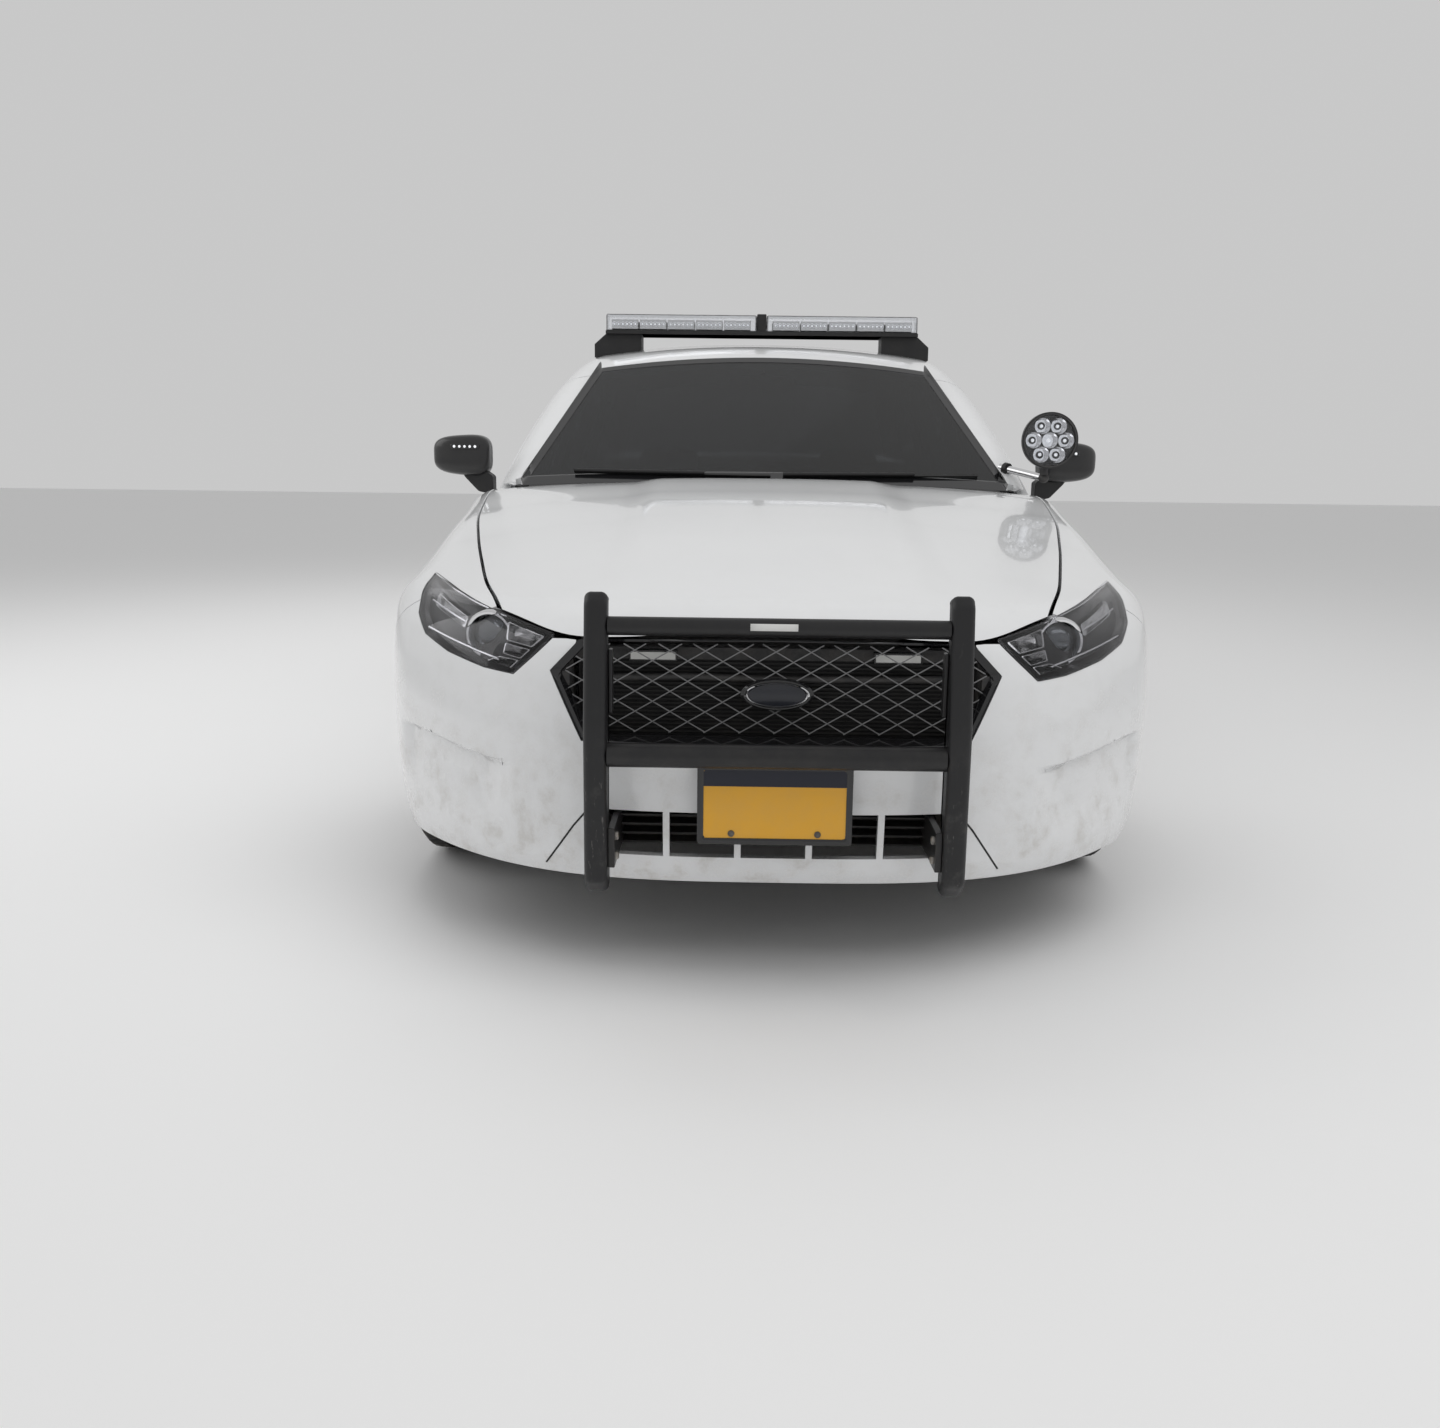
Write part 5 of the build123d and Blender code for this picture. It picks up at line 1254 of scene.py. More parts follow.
@dataclass
class Grille:
    """The grille: frame along the opening, diamond mesh, blank oval badge, and what shows behind."""

    shop: Workshop
    mesh_x: float = 2436
    pitch: float = 75
    rise: float = 44
    level: float = 630
    strand: float = 1.5
    crossing: float = 1.2
    shortest: float = 4
    corner: float = 12
    opening: Outline = (
        (0, 744),
        (420, 740),
        (427, 730),
        (482, 672),
        (410, 530),
        (0, 530),
        (-410, 530),
        (-482, 672),
        (-427, 730),
        (-420, 740),
    )
    frame_steps: Outline = ((1.0, -6), (0.985, 0), (0.968, -2), (0.955, -18))
    frame_foot: Pair = (0.95, -6)
    inner_size: Pair = (1 - 17 / 480, 0.94)
    inner_lift: float = 636 * 0.06 + 22
    badge_place: Spot = (2438, 4, 628)
    badge: Sequence[tuple[str, str, float, Outline]] = (
        ("surround", "gloss_black", 0.44, ((0, 0), (78, 0), (78, 7), (72, 12), (66, 12), (64, 9), (0, 9))),
        ("rim", "chrome", 0.385, ((64, 8), (69, 9), (69, 13), (66, 15), (63, 13), (61, 9))),
        ("field", "badge_dark", 0.385, ((0, 13), (30, 12.6), (61, 11), (62, 8), (0, 8))),
    )
    cooler: Box = ((2366, 2369), (-420, 420), (392, 396))
    cooler_pitch: float = 9
    cooler_rows: int = 33
    crossbar: Sequence[Spot] = ((2392, -380, 650), (2392, -200, 655), (2392, 0, 650), (2392, 380, 655))
    crossbar_radius: float = 9
    light: Box = ((2396, 2418), (-52, 52), (692, 716))
    light_y: float = 262
    light_lens: Box = ((2418, 2421), (-12, 12), (696, 712))
    light_lens_pitch: float = 24
    louvre: Box = ((2380, 2430), (-354, 354), (292, 296))
    louvre_step: Pair = (6, 22)
    screen: Box = ((2330, 2334), (-380, 380), (262, 384))

    def clip(self, start: Array, way: Array, corners: Array) -> Pair | None:
        """Where a line enters and leaves a convex outline, as shares along its direction."""
        edge = np.roll(corners, -1, 0) - corners
        normal = np.column_stack([-edge[:, 1], edge[:, 0]])
        normal *= np.sign(((corners.mean(0) - corners) * normal).sum(1))[:, None]
        speed = normal @ way
        gap = ((start - corners) * normal).sum(1)
        with np.errstate(divide="ignore"):
            at = -gap / speed
        low = at[speed > 1e-9].max()
        high = at[speed < -1e-9].min()
        return (low, high) if high > low + self.shortest else None

    def wires(self) -> Form:
        """The crossed strands, clipped to the frame's inner outline."""
        size = self.inner_size
        corners = np.array(self.opening) * size[0] * np.array([1, size[1]]) + np.array([0, self.inner_lift])
        strands = []
        for sign in (1, -1):
            way = np.array([1, sign * self.rise / self.pitch])
            way /= np.linalg.norm(way)
            for step in range(-16, 17):
                start = np.array([step * self.pitch, self.level])
                span = self.clip(start, way, corners)
                if span is None:
                    continue
                first, last = (start + way * share for share in span)
                x = self.mesh_x + sign * self.crossing
                path = [(x, *(first + (last - first) * share)) for share in (0, 0.5, 1)]
                strands.append(tube(path, self.strand, 6))
        return join(strands)

    def build(self) -> None:
        """Makes the grille."""
        outer = even(rounded(self.opening, self.corner), 240)
        centre = outer.mean(0)
        grid = []
        for share, shift in self.frame_steps:
            ring = on_front(centre + (outer - centre) * share, shift)
            ring[:, 0] = np.maximum(ring[:, 0], self.mesh_x)
            grid.append(ring)
        share, shift = self.frame_foot
        flat = centre + (outer - centre) * share
        grid.append(np.column_stack([np.full(len(flat), self.mesh_x + shift), flat]))
        self.shop.add("grille_frame", sheet(np.array(grid), loop_u=True, loop_v=True), "gloss_black")
        self.shop.add("grille_wires", self.wires(), "wire_grey", "grille_mesh")
        for name, finish, height, profile in self.badge:
            oval = lathe(profile, 96)
            oval.points[:, 1] *= height
            self.shop.add(f"badge_{name}", oval.facing(self.badge_place, AHEAD), finish)
        self.behind()

    def behind(self) -> None:
        """The cooler's tubes, the crossbar and the two small lights behind the mesh."""
        shop = self.shop
        shop.dress("radiator", "cooler")
        tubes = [block(*self.cooler).moved(z=self.cooler_pitch * row) for row in range(self.cooler_rows)]
        shop.add("cooler_tubes", join(tubes), "cooler_tube")
        bar = tube(self.crossbar, self.crossbar_radius)
        shop.add("grille_crossbar", bar, "dark_metal", sharp=60)
        middles = (-self.light_y, self.light_y)
        lights = [block(*self.light).moved(y=y) for y in middles]
        across = [y + share * self.light_lens_pitch for y in middles for share in QUARTERS]
        lenses = [block(*self.light_lens).moved(y=y) for y in across]
        shop.add("grille_lights", join(lights), "gloss_black", bevel=2)
        shop.add("grille_light_lenses", join(lenses), "led_lens", bevel=1)
        ahead, up = self.louvre_step
        louvres = [block(*self.louvre).moved(x=ahead * row, z=up * row) for row in range(4)]
        shop.add("lower_louvres", join(louvres), "black_plastic", bevel=1)
        shop.add("lower_screen", block(*self.screen), "cooler")


@dataclass
class PushGuard:
    """The push guard: rounded uprights, tubes, brackets, pads and a blank label."""

    shop: Workshop
    y: float = 366
    width: float = 48
    corner: float = 16
    edge: float = 15
    side_view: Outline = (
        (GUARD_X - 42, 232),
        (GUARD_X - 2, 268),
        (GUARD_X, 300),
        (GUARD_X, 590),
        (GUARD_X - 34, 838),
        (GUARD_X - 52, 858),
        (GUARD_X - 84, 850),
        (GUARD_X - 56, 590),
        (GUARD_X - 56, 300),
        (GUARD_X - 70, 240),
    )
    upper_tube: Spot = (GUARD_X - 50, 789, 19)
    lower_tube: Spot = (GUARD_X - 28, 529, 25)
    bracket_x: Pair = (NOSE_X - 150, GUARD_X - 20)
    bracket_z: Pair = (292, 376)
    bracket_width: float = 14
    pad_x: Pair = (GUARD_X - 66, GUARD_X - 42)
    pad_z: Pair = (612, 742)
    pad_y: Pair = (9, 1)
    bolt_x: float = GUARD_X - 44
    bolt_z: Pair = (312, 354)
    bolt: Outline = ((0, 0), (9, 0), (9, 5), (6, 7), (0, 7))
    label_y: Pair = (-57, 38)
    label_turn: float = 24
    label_gap: float = 0.5
    label_lift: float = 2

    def build(self) -> None:
        """Makes the guard."""
        shop = self.shop
        start, end = self.y - self.width / 2, self.y + self.width / 2
        outline = even(rounded(self.side_view, self.corner), 200)
        for side in Side:
            upright = pillow(outline, "y", start, end, self.edge)
            shop.add(f"guard_upright_{side.word}", upright.on(side), "worn_coat", sharp=60)
        tubes = []
        for x, z, radius in (self.upper_tube, self.lower_tube):
            tubes.append(tube([(x, y, z) for y in np.linspace(-start, start, 9)], radius, 40))
        shop.add("guard_tubes", join(tubes), "powder_coat", "push_guard", sharp=60)
        parts, bolts = [], []
        face = start - self.bracket_width
        pad_y = (start - self.pad_y[0], start - self.pad_y[1])
        for side in Side:
            parts.append(block(self.bracket_x, (face, start), self.bracket_z).on(side))
            parts.append(block(self.pad_x, pad_y, self.pad_z).on(side))
            for z in self.bolt_z:
                bolts.append(turned(self.bolt, (self.bolt_x, face, z), (0, -1, 0), 6).on(side))
        shop.add("guard_brackets", join(parts), "powder_coat", bevel=2)
        shop.add("guard_bolts", join(bolts), "bare_steel")
        turn = np.radians(np.linspace(-self.label_turn, self.label_turn, 9))[None, :]
        across = np.linspace(*self.label_y, 5)[:, None]
        x, z, radius = self.upper_tube
        radius += self.label_gap
        z += self.label_lift
        grid = np.broadcast_arrays(x + radius * np.cos(turn), across, z + radius * np.sin(turn))
        shop.add("guard_label", sheet(np.stack(grid, -1)), "label_white", thickness=0.4)


@dataclass
class Plate:
    """The blank front plate in its black frame."""

    shop: Workshop
    half: float = 150
    low: float = 342
    high: float = 492
    x: float = GUARD_X - 72
    corner: float = 9
    holder_edge: float = 11
    holder_depth: float = 74
    depth: float = 3
    band: float = 37
    band_edge: float = 1.5
    band_corner: Pair = (8, 7)
    band_lift: float = 0.5
    frame: Outline = ((11, -4), (11, 3), (2, 4), (-2, 1.5), (-2, -3))
    bolts: Outline = ((-90, 354), (90, 354))
    bolt: Outline = ((0, 0), (7, 0), (7, 2), (4, 4.5), (0, 5))

    def outline(self, grow: float) -> Array:
        """The plate's outline, grown by a margin."""
        half, low, high = self.half + grow, self.low - grow, self.high + grow
        return rounded([(-half, low), (half, low), (half, high), (-half, high)], self.corner, 2)

    def build(self) -> None:
        """Makes the plate, its frame, its band and its bolts."""
        shop = self.shop
        back = prism(self.outline(self.holder_edge), "x", self.x - self.holder_depth, self.x - self.depth)
        shop.add("plate_holder", back, "gloss_black", bevel=2)
        face = prism(self.outline(-1), "x", self.x - self.depth, self.x)
        shop.add("plate_face", face, "plate_yellow", "number_plate", bevel=1)
        half, high = self.half - self.band_edge, self.high
        foot, top, short = high - self.band, high - self.band_corner[1], self.half - self.band_corner[0]
        band = [(-half, foot), (half, foot), (half, top), (short, high), (-short, high), (-half, top)]
        shop.add("plate_band", prism(band, "x", self.x, self.x + self.band_lift), "plate_blue")
        rings = []
        for grow, lift in self.frame:
            flat = even(self.outline(grow), 120)
            rings.append(np.column_stack([np.full(len(flat), self.x + lift), flat]))
        shop.add("plate_frame", sheet(np.array(rings), loop_v=True), "gloss_black")
        bolts = [turned(self.bolt, (self.x, y, z), AHEAD, 20) for y, z in self.bolts]
        shop.add("plate_bolts", join(bolts), "dark_metal", slot="bare_steel")


@dataclass
class LightBar:
    """The light bar: clear lenses over rows of lamp modules, on a black tray."""

    shop: Workshop
    x: float = HEADER_X - 372
    floor: float = 1596
    high: float = 1658
    half: float = 604
    gap: float = 22
    foot_depth: float = 80
    top_depth: float = 76
    corner: float = 14
    end_share: float = 0.94
    end_length: float = 3
    wall: float = 2.5
    row_ends: Pair = (40, 590)
    module_x: Pair = (34, 58)
    module_z: Pair = (1604, 1642)
    lamp_z: float = 1623
    lamp_margin: float = 14
    cup: Outline = ((4, -7), (8.4, 0), (8.8, 0.5), (8.8, -8), (4, -8))
    dot: Outline = ((0, 2.2), (2.4, 1.6), (3.4, 0), (3.4, -4), (0, -4))
    board_depth: float = 30
    board_z: Pair = (1600, 1636)
    post: Box = ((-76, 76), (-18, 18), (1596, 1664))
    tray: Box = ((-84, 84), (-606, 606), (1584, 1600))

    def shell(self, low: float, high: float) -> Form:
        """One clear housing: a rounded section carried across."""
        foot, top = self.foot_depth, self.top_depth
        section = [(-foot, self.floor), (foot, self.floor), (top, self.high), (-top, self.high)]
        flat = even(rounded(section, self.corner, 2), 40)
        centre = flat.mean(0)
        grid = []
        near, far = low + self.end_length, high - self.end_length
        for y, share in ((low, self.end_share), (near, 1), (far, 1), (high, self.end_share)):
            ring = centre + (flat - centre) * share
            grid.append(np.column_stack([self.x + ring[:, 0], np.full(len(ring), y), ring[:, 1]]))
        ends = [np.repeat(ring.mean(0)[None], len(ring), 0) for ring in (grid[0], grid[-1])]
        return sheet(np.array([ends[0], *grid, ends[1]]), loop_v=True)

    def build(self) -> None:
        """Makes the bar."""
        shop = self.shop
        shells = join([self.shell(-self.half, -self.gap), self.shell(self.gap, self.half)])
        shop.add("bar_lenses", shells, "bar_clear", "light_bar_lenses", thickness=-self.wall)
        modules, cups, leds, boards = [], [], [], []
        start, end = self.row_ends
        inner, outer = self.module_x
        for row in (np.linspace(-end, -start, 6), np.linspace(start, end, 6)):
            for low, high in zip(row, row[1:]):
                for ahead in (1, -1):
                    depth = sorted((self.x + ahead * inner, self.x + ahead * outer))
                    modules.append(block(depth, (low + 3, high - 3), self.module_z))
                    for y in np.linspace(low + self.lamp_margin, high - self.lamp_margin, 6):
                        face = self.x + ahead * outer
                        cups.append(turned(self.cup, (face + ahead * 2, y, self.lamp_z), (ahead, 0, 0), 16))
                        leds.append(turned(self.dot, (face + ahead, y, self.lamp_z), (ahead, 0, 0), 12))
                depth = (self.x - self.board_depth, self.x + self.board_depth)
                boards.append(block(depth, (low + 4, high - 4), self.board_z))
        shop.add("bar_modules", join(modules), "lamp_silver", bevel=2)
        shop.add("bar_cups", join(cups), "chrome")
        shop.add("bar_leds", join(leds), "led_white")
        shop.add("bar_boards", join(boards), "dark_metal", bevel=2)
        post = join([block(*self.post), block(*self.tray)]).moved(self.x)
        shop.add("bar_post", post, "black_plastic", bevel=3)
        shop.refine("light_bar_base", "black_plastic", bevel=2)


@dataclass
class Spotlight:
    """The pillar spotlight: a drum with a cluster of lamps behind a clear face, on a bent shaft.

    The shaft's places are measured from the drum's.
    """

    shop: Workshop
    place: Spot = (930, 900, 1183)
    drum: Outline = (
        (0, -70),
        (20, -69),
        (36, -62),
        (56, -46),
        (72, -26),
        (84, 6),
        (88, 24),
        (88, 42),
        (84, 44),
        (80, 42),
        (79, 20),
        (0, 12),
    )
    rim: Outline = ((78, 36), (80, 43.5), (84, 44), (86, 40), (84, 34))
    face: Outline = ((0, 40), (60, 39.5), (79, 38), (79, 36), (60, 37.5), (0, 38))
    cup: Outline = ((4, 12), (10, 15), (18, 25), (25, 36), (25.4, 14), (4, 11))
    lamp: Outline = ((0, 22), (4, 21), (6, 17), (6, 13), (0, 13))
    cluster: float = 51
    shaft: Sequence[Spot] = ((-20, 0, -118), (-92, -56, -102), (-165, -112, -86))
    shaft_radius: float = 12
    stem: Sequence[Spot] = ((-20, 0, -118), (-20, 0, -90), (-20, 0, -50))
    stem_radius: float = 13
    knee: Box = ((-37, -3), (-17, 17), (-134, -102))
    flange: Sequence[Spot] = ((-150, -100, -89), (-138, -91, -92))
    flange_radius: float = 19

    def build(self) -> None:
        """Makes the spotlight."""
        shop = self.shop
        drum = turned(self.drum, self.place, AHEAD, 64)
        shop.add("spot_shell", drum, "powder_coat", "spotlight", slot="black_plastic", sharp=50)
        shop.add("spot_rim", turned(self.rim, self.place, AHEAD, 64), "dark_metal", slot="lamp_metal")
        turn = np.radians(np.arange(0, 360, 60))
        round_spots = np.stack([0 * turn, self.cluster * np.cos(turn), self.cluster * np.sin(turn)], -1)
        spots = np.array(self.place) + np.concatenate([np.zeros((1, 3)), round_spots])
        shop.add("spot_cups", join([turned(self.cup, spot, AHEAD, 30) for spot in spots]), "chrome")
        shop.add("spot_lamps", join([turned(self.lamp, spot, AHEAD, 12) for spot in spots]), "led_white")
        shop.add("spot_face", turned(self.face, self.place, AHEAD, 64), "clear_lens")
        shaft = tube(self.shaft, self.shaft_radius, 24).moved(*self.place)
        shop.add("spot_shaft", shaft, "chrome", sharp=60)
        stem = join([tube(self.stem, self.stem_radius, 24), ellipsoid(*self.knee, 1.0)]).moved(*self.place)
        shop.add("spot_stem", stem, "dark_metal", slot="black_plastic", sharp=60)
        flange = tube(self.flange, self.flange_radius, 24).moved(*self.place)
        shop.add("spot_flange", flange, "black_plastic", sharp=60)


@dataclass
class Mirror:
    """A door mirror: rounded shell, glass, foot and a row of five small lamps."""

    shop: Workshop
    side: Side
    x: Pair = (728, 842)
    y: Pair = (904, 1097)
    z: Pair = (1046, 1184)
    waist: float = 60
    taper_z: float = 0.22
    taper_x: float = 0.25
    foot: Outline = ((897, 988), (897, 1048), (926, 1068), (1010, 1078), (990, 1044), (946, 998))
    foot_x: Pair = (752, 812)
    foot_corner: float = 14
    glass: Box = ((722, 730), (920, 1084), (1060, 1172))
    pocket: Box = ((826, 846), (934, 1030), (1134, 1152))
    lamps: Sequence[Spot] = tuple((844.5, y, 1143) for y in (948, 965, 982, 999, 1016))
    lamp: Outline = ((0, 4), (3.4, 3), (5, 0), (5, -4), (0, -4))

    def build(self) -> None:
        """Makes the mirror."""
        node = f"mirror_{self.side.word}"
        shell = ellipsoid(self.x, self.y, self.z, 0.52)
        points = shell.points
        share = (points[:, 1] - self.y[0]) / (self.y[1] - self.y[0])
        middle = self.z[1] - self.waist
        points[:, 2] = middle + (points[:, 2] - middle) * (1 - self.taper_z * share**2)
        points[:, 0] = self.x[0] + (points[:, 0] - self.x[0]) * (1 - self.taper_x * share**3)
        foot = prism(rounded(self.foot, self.foot_corner, 2), "x", *self.foot_x)
        lamps = join([turned(self.lamp, spot, AHEAD, 16) for spot in self.lamps])
        for part, form, finish, nodes, looks in (
            ("shell", shell, "mirror_black", (node,), {"sharp": 60}),
            ("foot", foot, "black_plastic", (), {"bevel": 8, "sharp": 50}),
            ("glass", ellipsoid(*self.glass, 0.4), "chrome", (), {"slot": "window_glass", "sharp": 60}),
            ("pocket", ellipsoid(*self.pocket, 0.4, 20, 32), "gloss_black", (), {"sharp": 60}),
            ("lamps", lamps, "led_white", (), {}),
        ):
            name, body = f"{node}_{part}", f"door_front_{self.side.word}"
            self.shop.add(name, form.on(self.side), finish, *nodes, body=body, **looks)


@dataclass
class Wipers:
    """The wipers: tapering arms with rubber blades at the foot of the windscreen."""

    shop: Workshop
    spans: Outline = ((60, 700), (-620, 20))
    foot: float = 1056
    rise: float = 6
    arm_gap: float = 12
    arm_radius: float = 6.5
    blade: Pair = (1.5, 9)
    blade_half: Spot = (4.0, 0, -2.3)

    def build(self) -> None:
        """Makes both wipers."""
        arms, blades = [], []
        out_x, out_z = np.array([SCREEN_SLOPE, 1]) / math.hypot(SCREEN_SLOPE, 1)
        thin = np.array(self.blade_half)
        for start, end in self.spans:
            y = np.linspace(start, end, 13)
            z = self.foot + self.rise * np.abs(y) / 700
            x = screen_x(y, z)
            arm, low, high = (
                np.column_stack([x + gap * out_x, y, z + gap * out_z]) for gap in (self.arm_gap, *self.blade)
            )
            arms.append(tube(arm[:9], self.arm_radius, 12))
            section = [low - thin / 3, high - thin, high + thin, low + thin / 3]
            blades.append(sheet(np.array(section), loop_u=True))
        self.shop.add("wiper_arms", join(arms), "black_plastic", "wipers", sharp=60)
        self.shop.add("wiper_blades", join(blades), "soft_rubber")


@dataclass
class Wheel:
    """A tyre with its tread, a smooth rim with nuts and a small cap.

    A row of the tyre's section is a radius, a half width, and 1 where the sipes cut it.
    """

    shop: Workshop
    place: str
    side: Side
    section: Sequence[Spot] = (
        (237, 98, 0),
        (243, 108, 0),
        (262, 119, 0),
        (290, 122.5, 0),
        (318, 121, 0),
        (340, 114, 0),
        (352, 104, 1),
        (358, 96, 1),
        (360, 84, 1),
        (361, 68, 1),
        (361.6, 60, 1),
        (361.8, 53, 1),
        (354, 51, 0),
        (354, 44, 0),
        (362, 42, 1),
        (362.6, 26, 1),
        (362.9, 8, 1),
    )
    groove: Sequence[Spot] = ((355, 6, 0), (355, -6, 0))
    inside: Sequence[Spot] = ((237, -60, 0), (237, 60, 0))
    sipes: int = 72
    sipe_slant: float = 0.09
    sipe_limit: float = 0.55
    sipe_inner: float = 24
    sipe_depth: float = 5
    hub: float = 66
    nut_circle: float = 57
    nut: Outline = ((0, 16), (8, 15), (11, 11), (11, 0), (0, 0))
    cap: Outline = ((0, 22), (22, 20), (32, 14), (35, 4), (35, 0), (0, 0))

    def tread(self) -> Form:
        """The tyre: a closed section whose crown is cut by three grooves and slanted sipes.

        The radius at angle a and half width w is the section's radius, less the sipes' depth where
        sin(sipes * a + slant * w) exceeds their limit outside the middle.
        """
        mirrored = tuple((radius, -width, cut) for radius, width, cut in self.section[::-1])
        rows = np.array((*self.section, *self.groove, *mirrored, *self.inside), float)
        angle = np.linspace(0, 2 * math.pi, 288, endpoint=False)[None, :]
        width = rows[:, 1:2]
        wave = np.sin(self.sipes * angle + self.sipe_slant * np.abs(width)) > self.sipe_limit
        sipe = wave & (rows[:, 2:3] > 0) & (np.abs(width) > self.sipe_inner)
        radius = rows[:, :1] - self.sipe_depth * sipe
        grid = np.stack([radius * np.cos(angle), width + 0 * angle, radius * np.sin(angle)], -1)
        return sheet(grid, loop_u=True, loop_v=True)

    def build(self) -> None:
        """Makes the wheel."""
        shop, side = self.shop, self.side
        x = FRONT_AXLE_X if self.place == "front" else REAR_AXLE_X
        name = f"{self.place}_{side.word}"
        body = f"wheel_{name}"
        tyre = self.tread().moved(x, WHEEL_Y, TYRE_RADIUS).on(side)
        shop.add(f"tyre_{name}_tread", tyre, "tyre_rubber", f"tyre_{name}", body=body, sharp=40)
        shop.refine(f"rim_{name}", "wheel_metal", body=body, bevel=2)
        nuts = []
        y = WHEEL_Y + self.hub
        out, up = (0, 1, 0), (1, 0, 0)
        for turn in np.radians(np.arange(0, 360, 72)):
            spot = (x + self.nut_circle * math.cos(turn), y, TYRE_RADIUS + self.nut_circle * math.sin(turn))
            nuts.append(turned(self.nut, spot, out, 6, up))
        shop.add(f"nuts_{name}", join(nuts).on(side), "chrome", body=body, slot="bare_steel")
        cap = turned(self.cap, (x, y, TYRE_RADIUS), out, 48, up)
        shop.add(f"cap_{name}", cap.on(side), "aluminium", body=body)


@dataclass
class Seats:
    """The seats: crowned pads blown up by a cloth simulation.

    Boxes are a pad's limits before it leans; the front ones are measured across from the seat's middle.
    """

    shop: Workshop
    quick: bool = field(default_factory=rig.quick)
    pressure: float = 4
    frames: int = 16
    farthest: float = 0.024
    fill: float = 0.7
    front_y: float = 370
    front_base: Box = ((-215, 385), (-236, 236), (352, 462))
    front_back: Box = ((-240, -128), (-232, 232), (430, 990))
    headrest: Box = ((-366, -284), (-122, 122), (1000, 1150))
    headrest_post: Sequence[Spot] = ((-318, 56, 940), (-324, 56, 1010))
    post_radius: float = 7
    pedestal: Box = ((-120, 300), (-190, 190), (258, 345))
    pan: Box = ((-140, 340), (-215, 215), (330, 362))
    bench: Box = ((-945, -552), (-462, 462), (362, 492))
    bench_back: Box = ((-1041, -935), (-462, 462), (470, 1040))
    base_lean: tuple[float, float, float] = (100, 400, 3)
    front_lean: tuple[float, float, float] = (-170, 430, 17)
    bench_lean: tuple[float, float, float] = (-975, 470, 17)

    def pad(self, name: str, form: Form, *nodes: str) -> None:
        made = self.shop.add(name, form, "seat_cloth", *nodes, sharp=80)
        if not self.quick:
            self.blow(made)
        smooth_skin = made.modifiers.new("smooth", "SUBSURF")
        smooth_skin.levels = smooth_skin.render_levels = 1
        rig.padded(made, self.fill)

    def blow(self, made: bpy.types.Object) -> None:
        """Runs the cloth and keeps its shape, each point moved no farther than the cap."""
        data = made.data
        rest = np.empty(len(data.vertices) * 3)
        data.vertices.foreach_get("co", rest)
        cloth = made.modifiers.new("fill", "CLOTH")
        cloth.settings.effector_weights.gravity = 0
        cloth.settings.use_pressure = True
        cloth.settings.uniform_pressure_force = self.pressure
        cloth.settings.quality = 5
        scene = bpy.context.scene
        for frame in range(1, self.frames + 1):
            scene.frame_set(frame)
        shaped = made.evaluated_get(bpy.context.evaluated_depsgraph_get()).data
        moved = np.empty(len(shaped.vertices) * 3)
        shaped.vertices.foreach_get("co", moved)
        made.modifiers.remove(cloth)
        scene.frame_set(1)
        shift = (moved - rest).reshape(-1, 3)
        length = np.linalg.norm(shift, axis=1, keepdims=True)
        shift *= np.minimum(1, self.farthest / np.maximum(length, 1e-9))
        data.vertices.foreach_set("co", rest + shift.ravel())
        data.update()

    def lean(self, form: Form, x: float, z: float, degrees: float) -> Form:
        """Leans a pad about the Y axis through a point of the side view."""
        turn = math.radians(degrees)
        points = form.points.copy()
        ahead, up = points[:, 0] - x, points[:, 2] - z
        points[:, 0] = x + ahead * math.cos(turn) - up * math.sin(turn)
        points[:, 2] = z + ahead * math.sin(turn) + up * math.cos(turn)
        return Form(points, form.faces)

    def build(self) -> None:
        """Makes front and rear seats."""
        frames = []
        for side in Side:
            y = self.front_y * side.value
            base = ellipsoid(*self.front_base, 0.36, 28, 56).moved(y=y)
            self.pad(f"front_cushion_{side.word}", self.lean(base, *self.base_lean))
            back = ellipsoid(*self.front_back, 0.36, 28, 56).moved(y=y)
            self.pad(f"front_back_{side.word}", self.lean(back, *self.front_lean), "front_seats")
            head = ellipsoid(*self.headrest, 0.5, 20, 40).moved(y=y)
            self.pad(f"front_headrest_{side.word}", head)
            post = tube(self.headrest_post, self.post_radius, 10)
            frames += [post.moved(y=y - 2 * self.headrest_post[0][1]), post.moved(y=y)]
            frames += [block(*self.pedestal).moved(y=y), block(*self.pan).moved(y=y)]
        self.shop.add("seat_frames", join(frames), "dark_metal", bevel=2)
        self.pad("rear_cushion", ellipsoid(*self.bench, 0.34, 28, 72), "rear_seat")
        back = ellipsoid(*self.bench_back, 0.34, 28, 72)
        self.pad("rear_back", self.lean(back, *self.bench_lean))


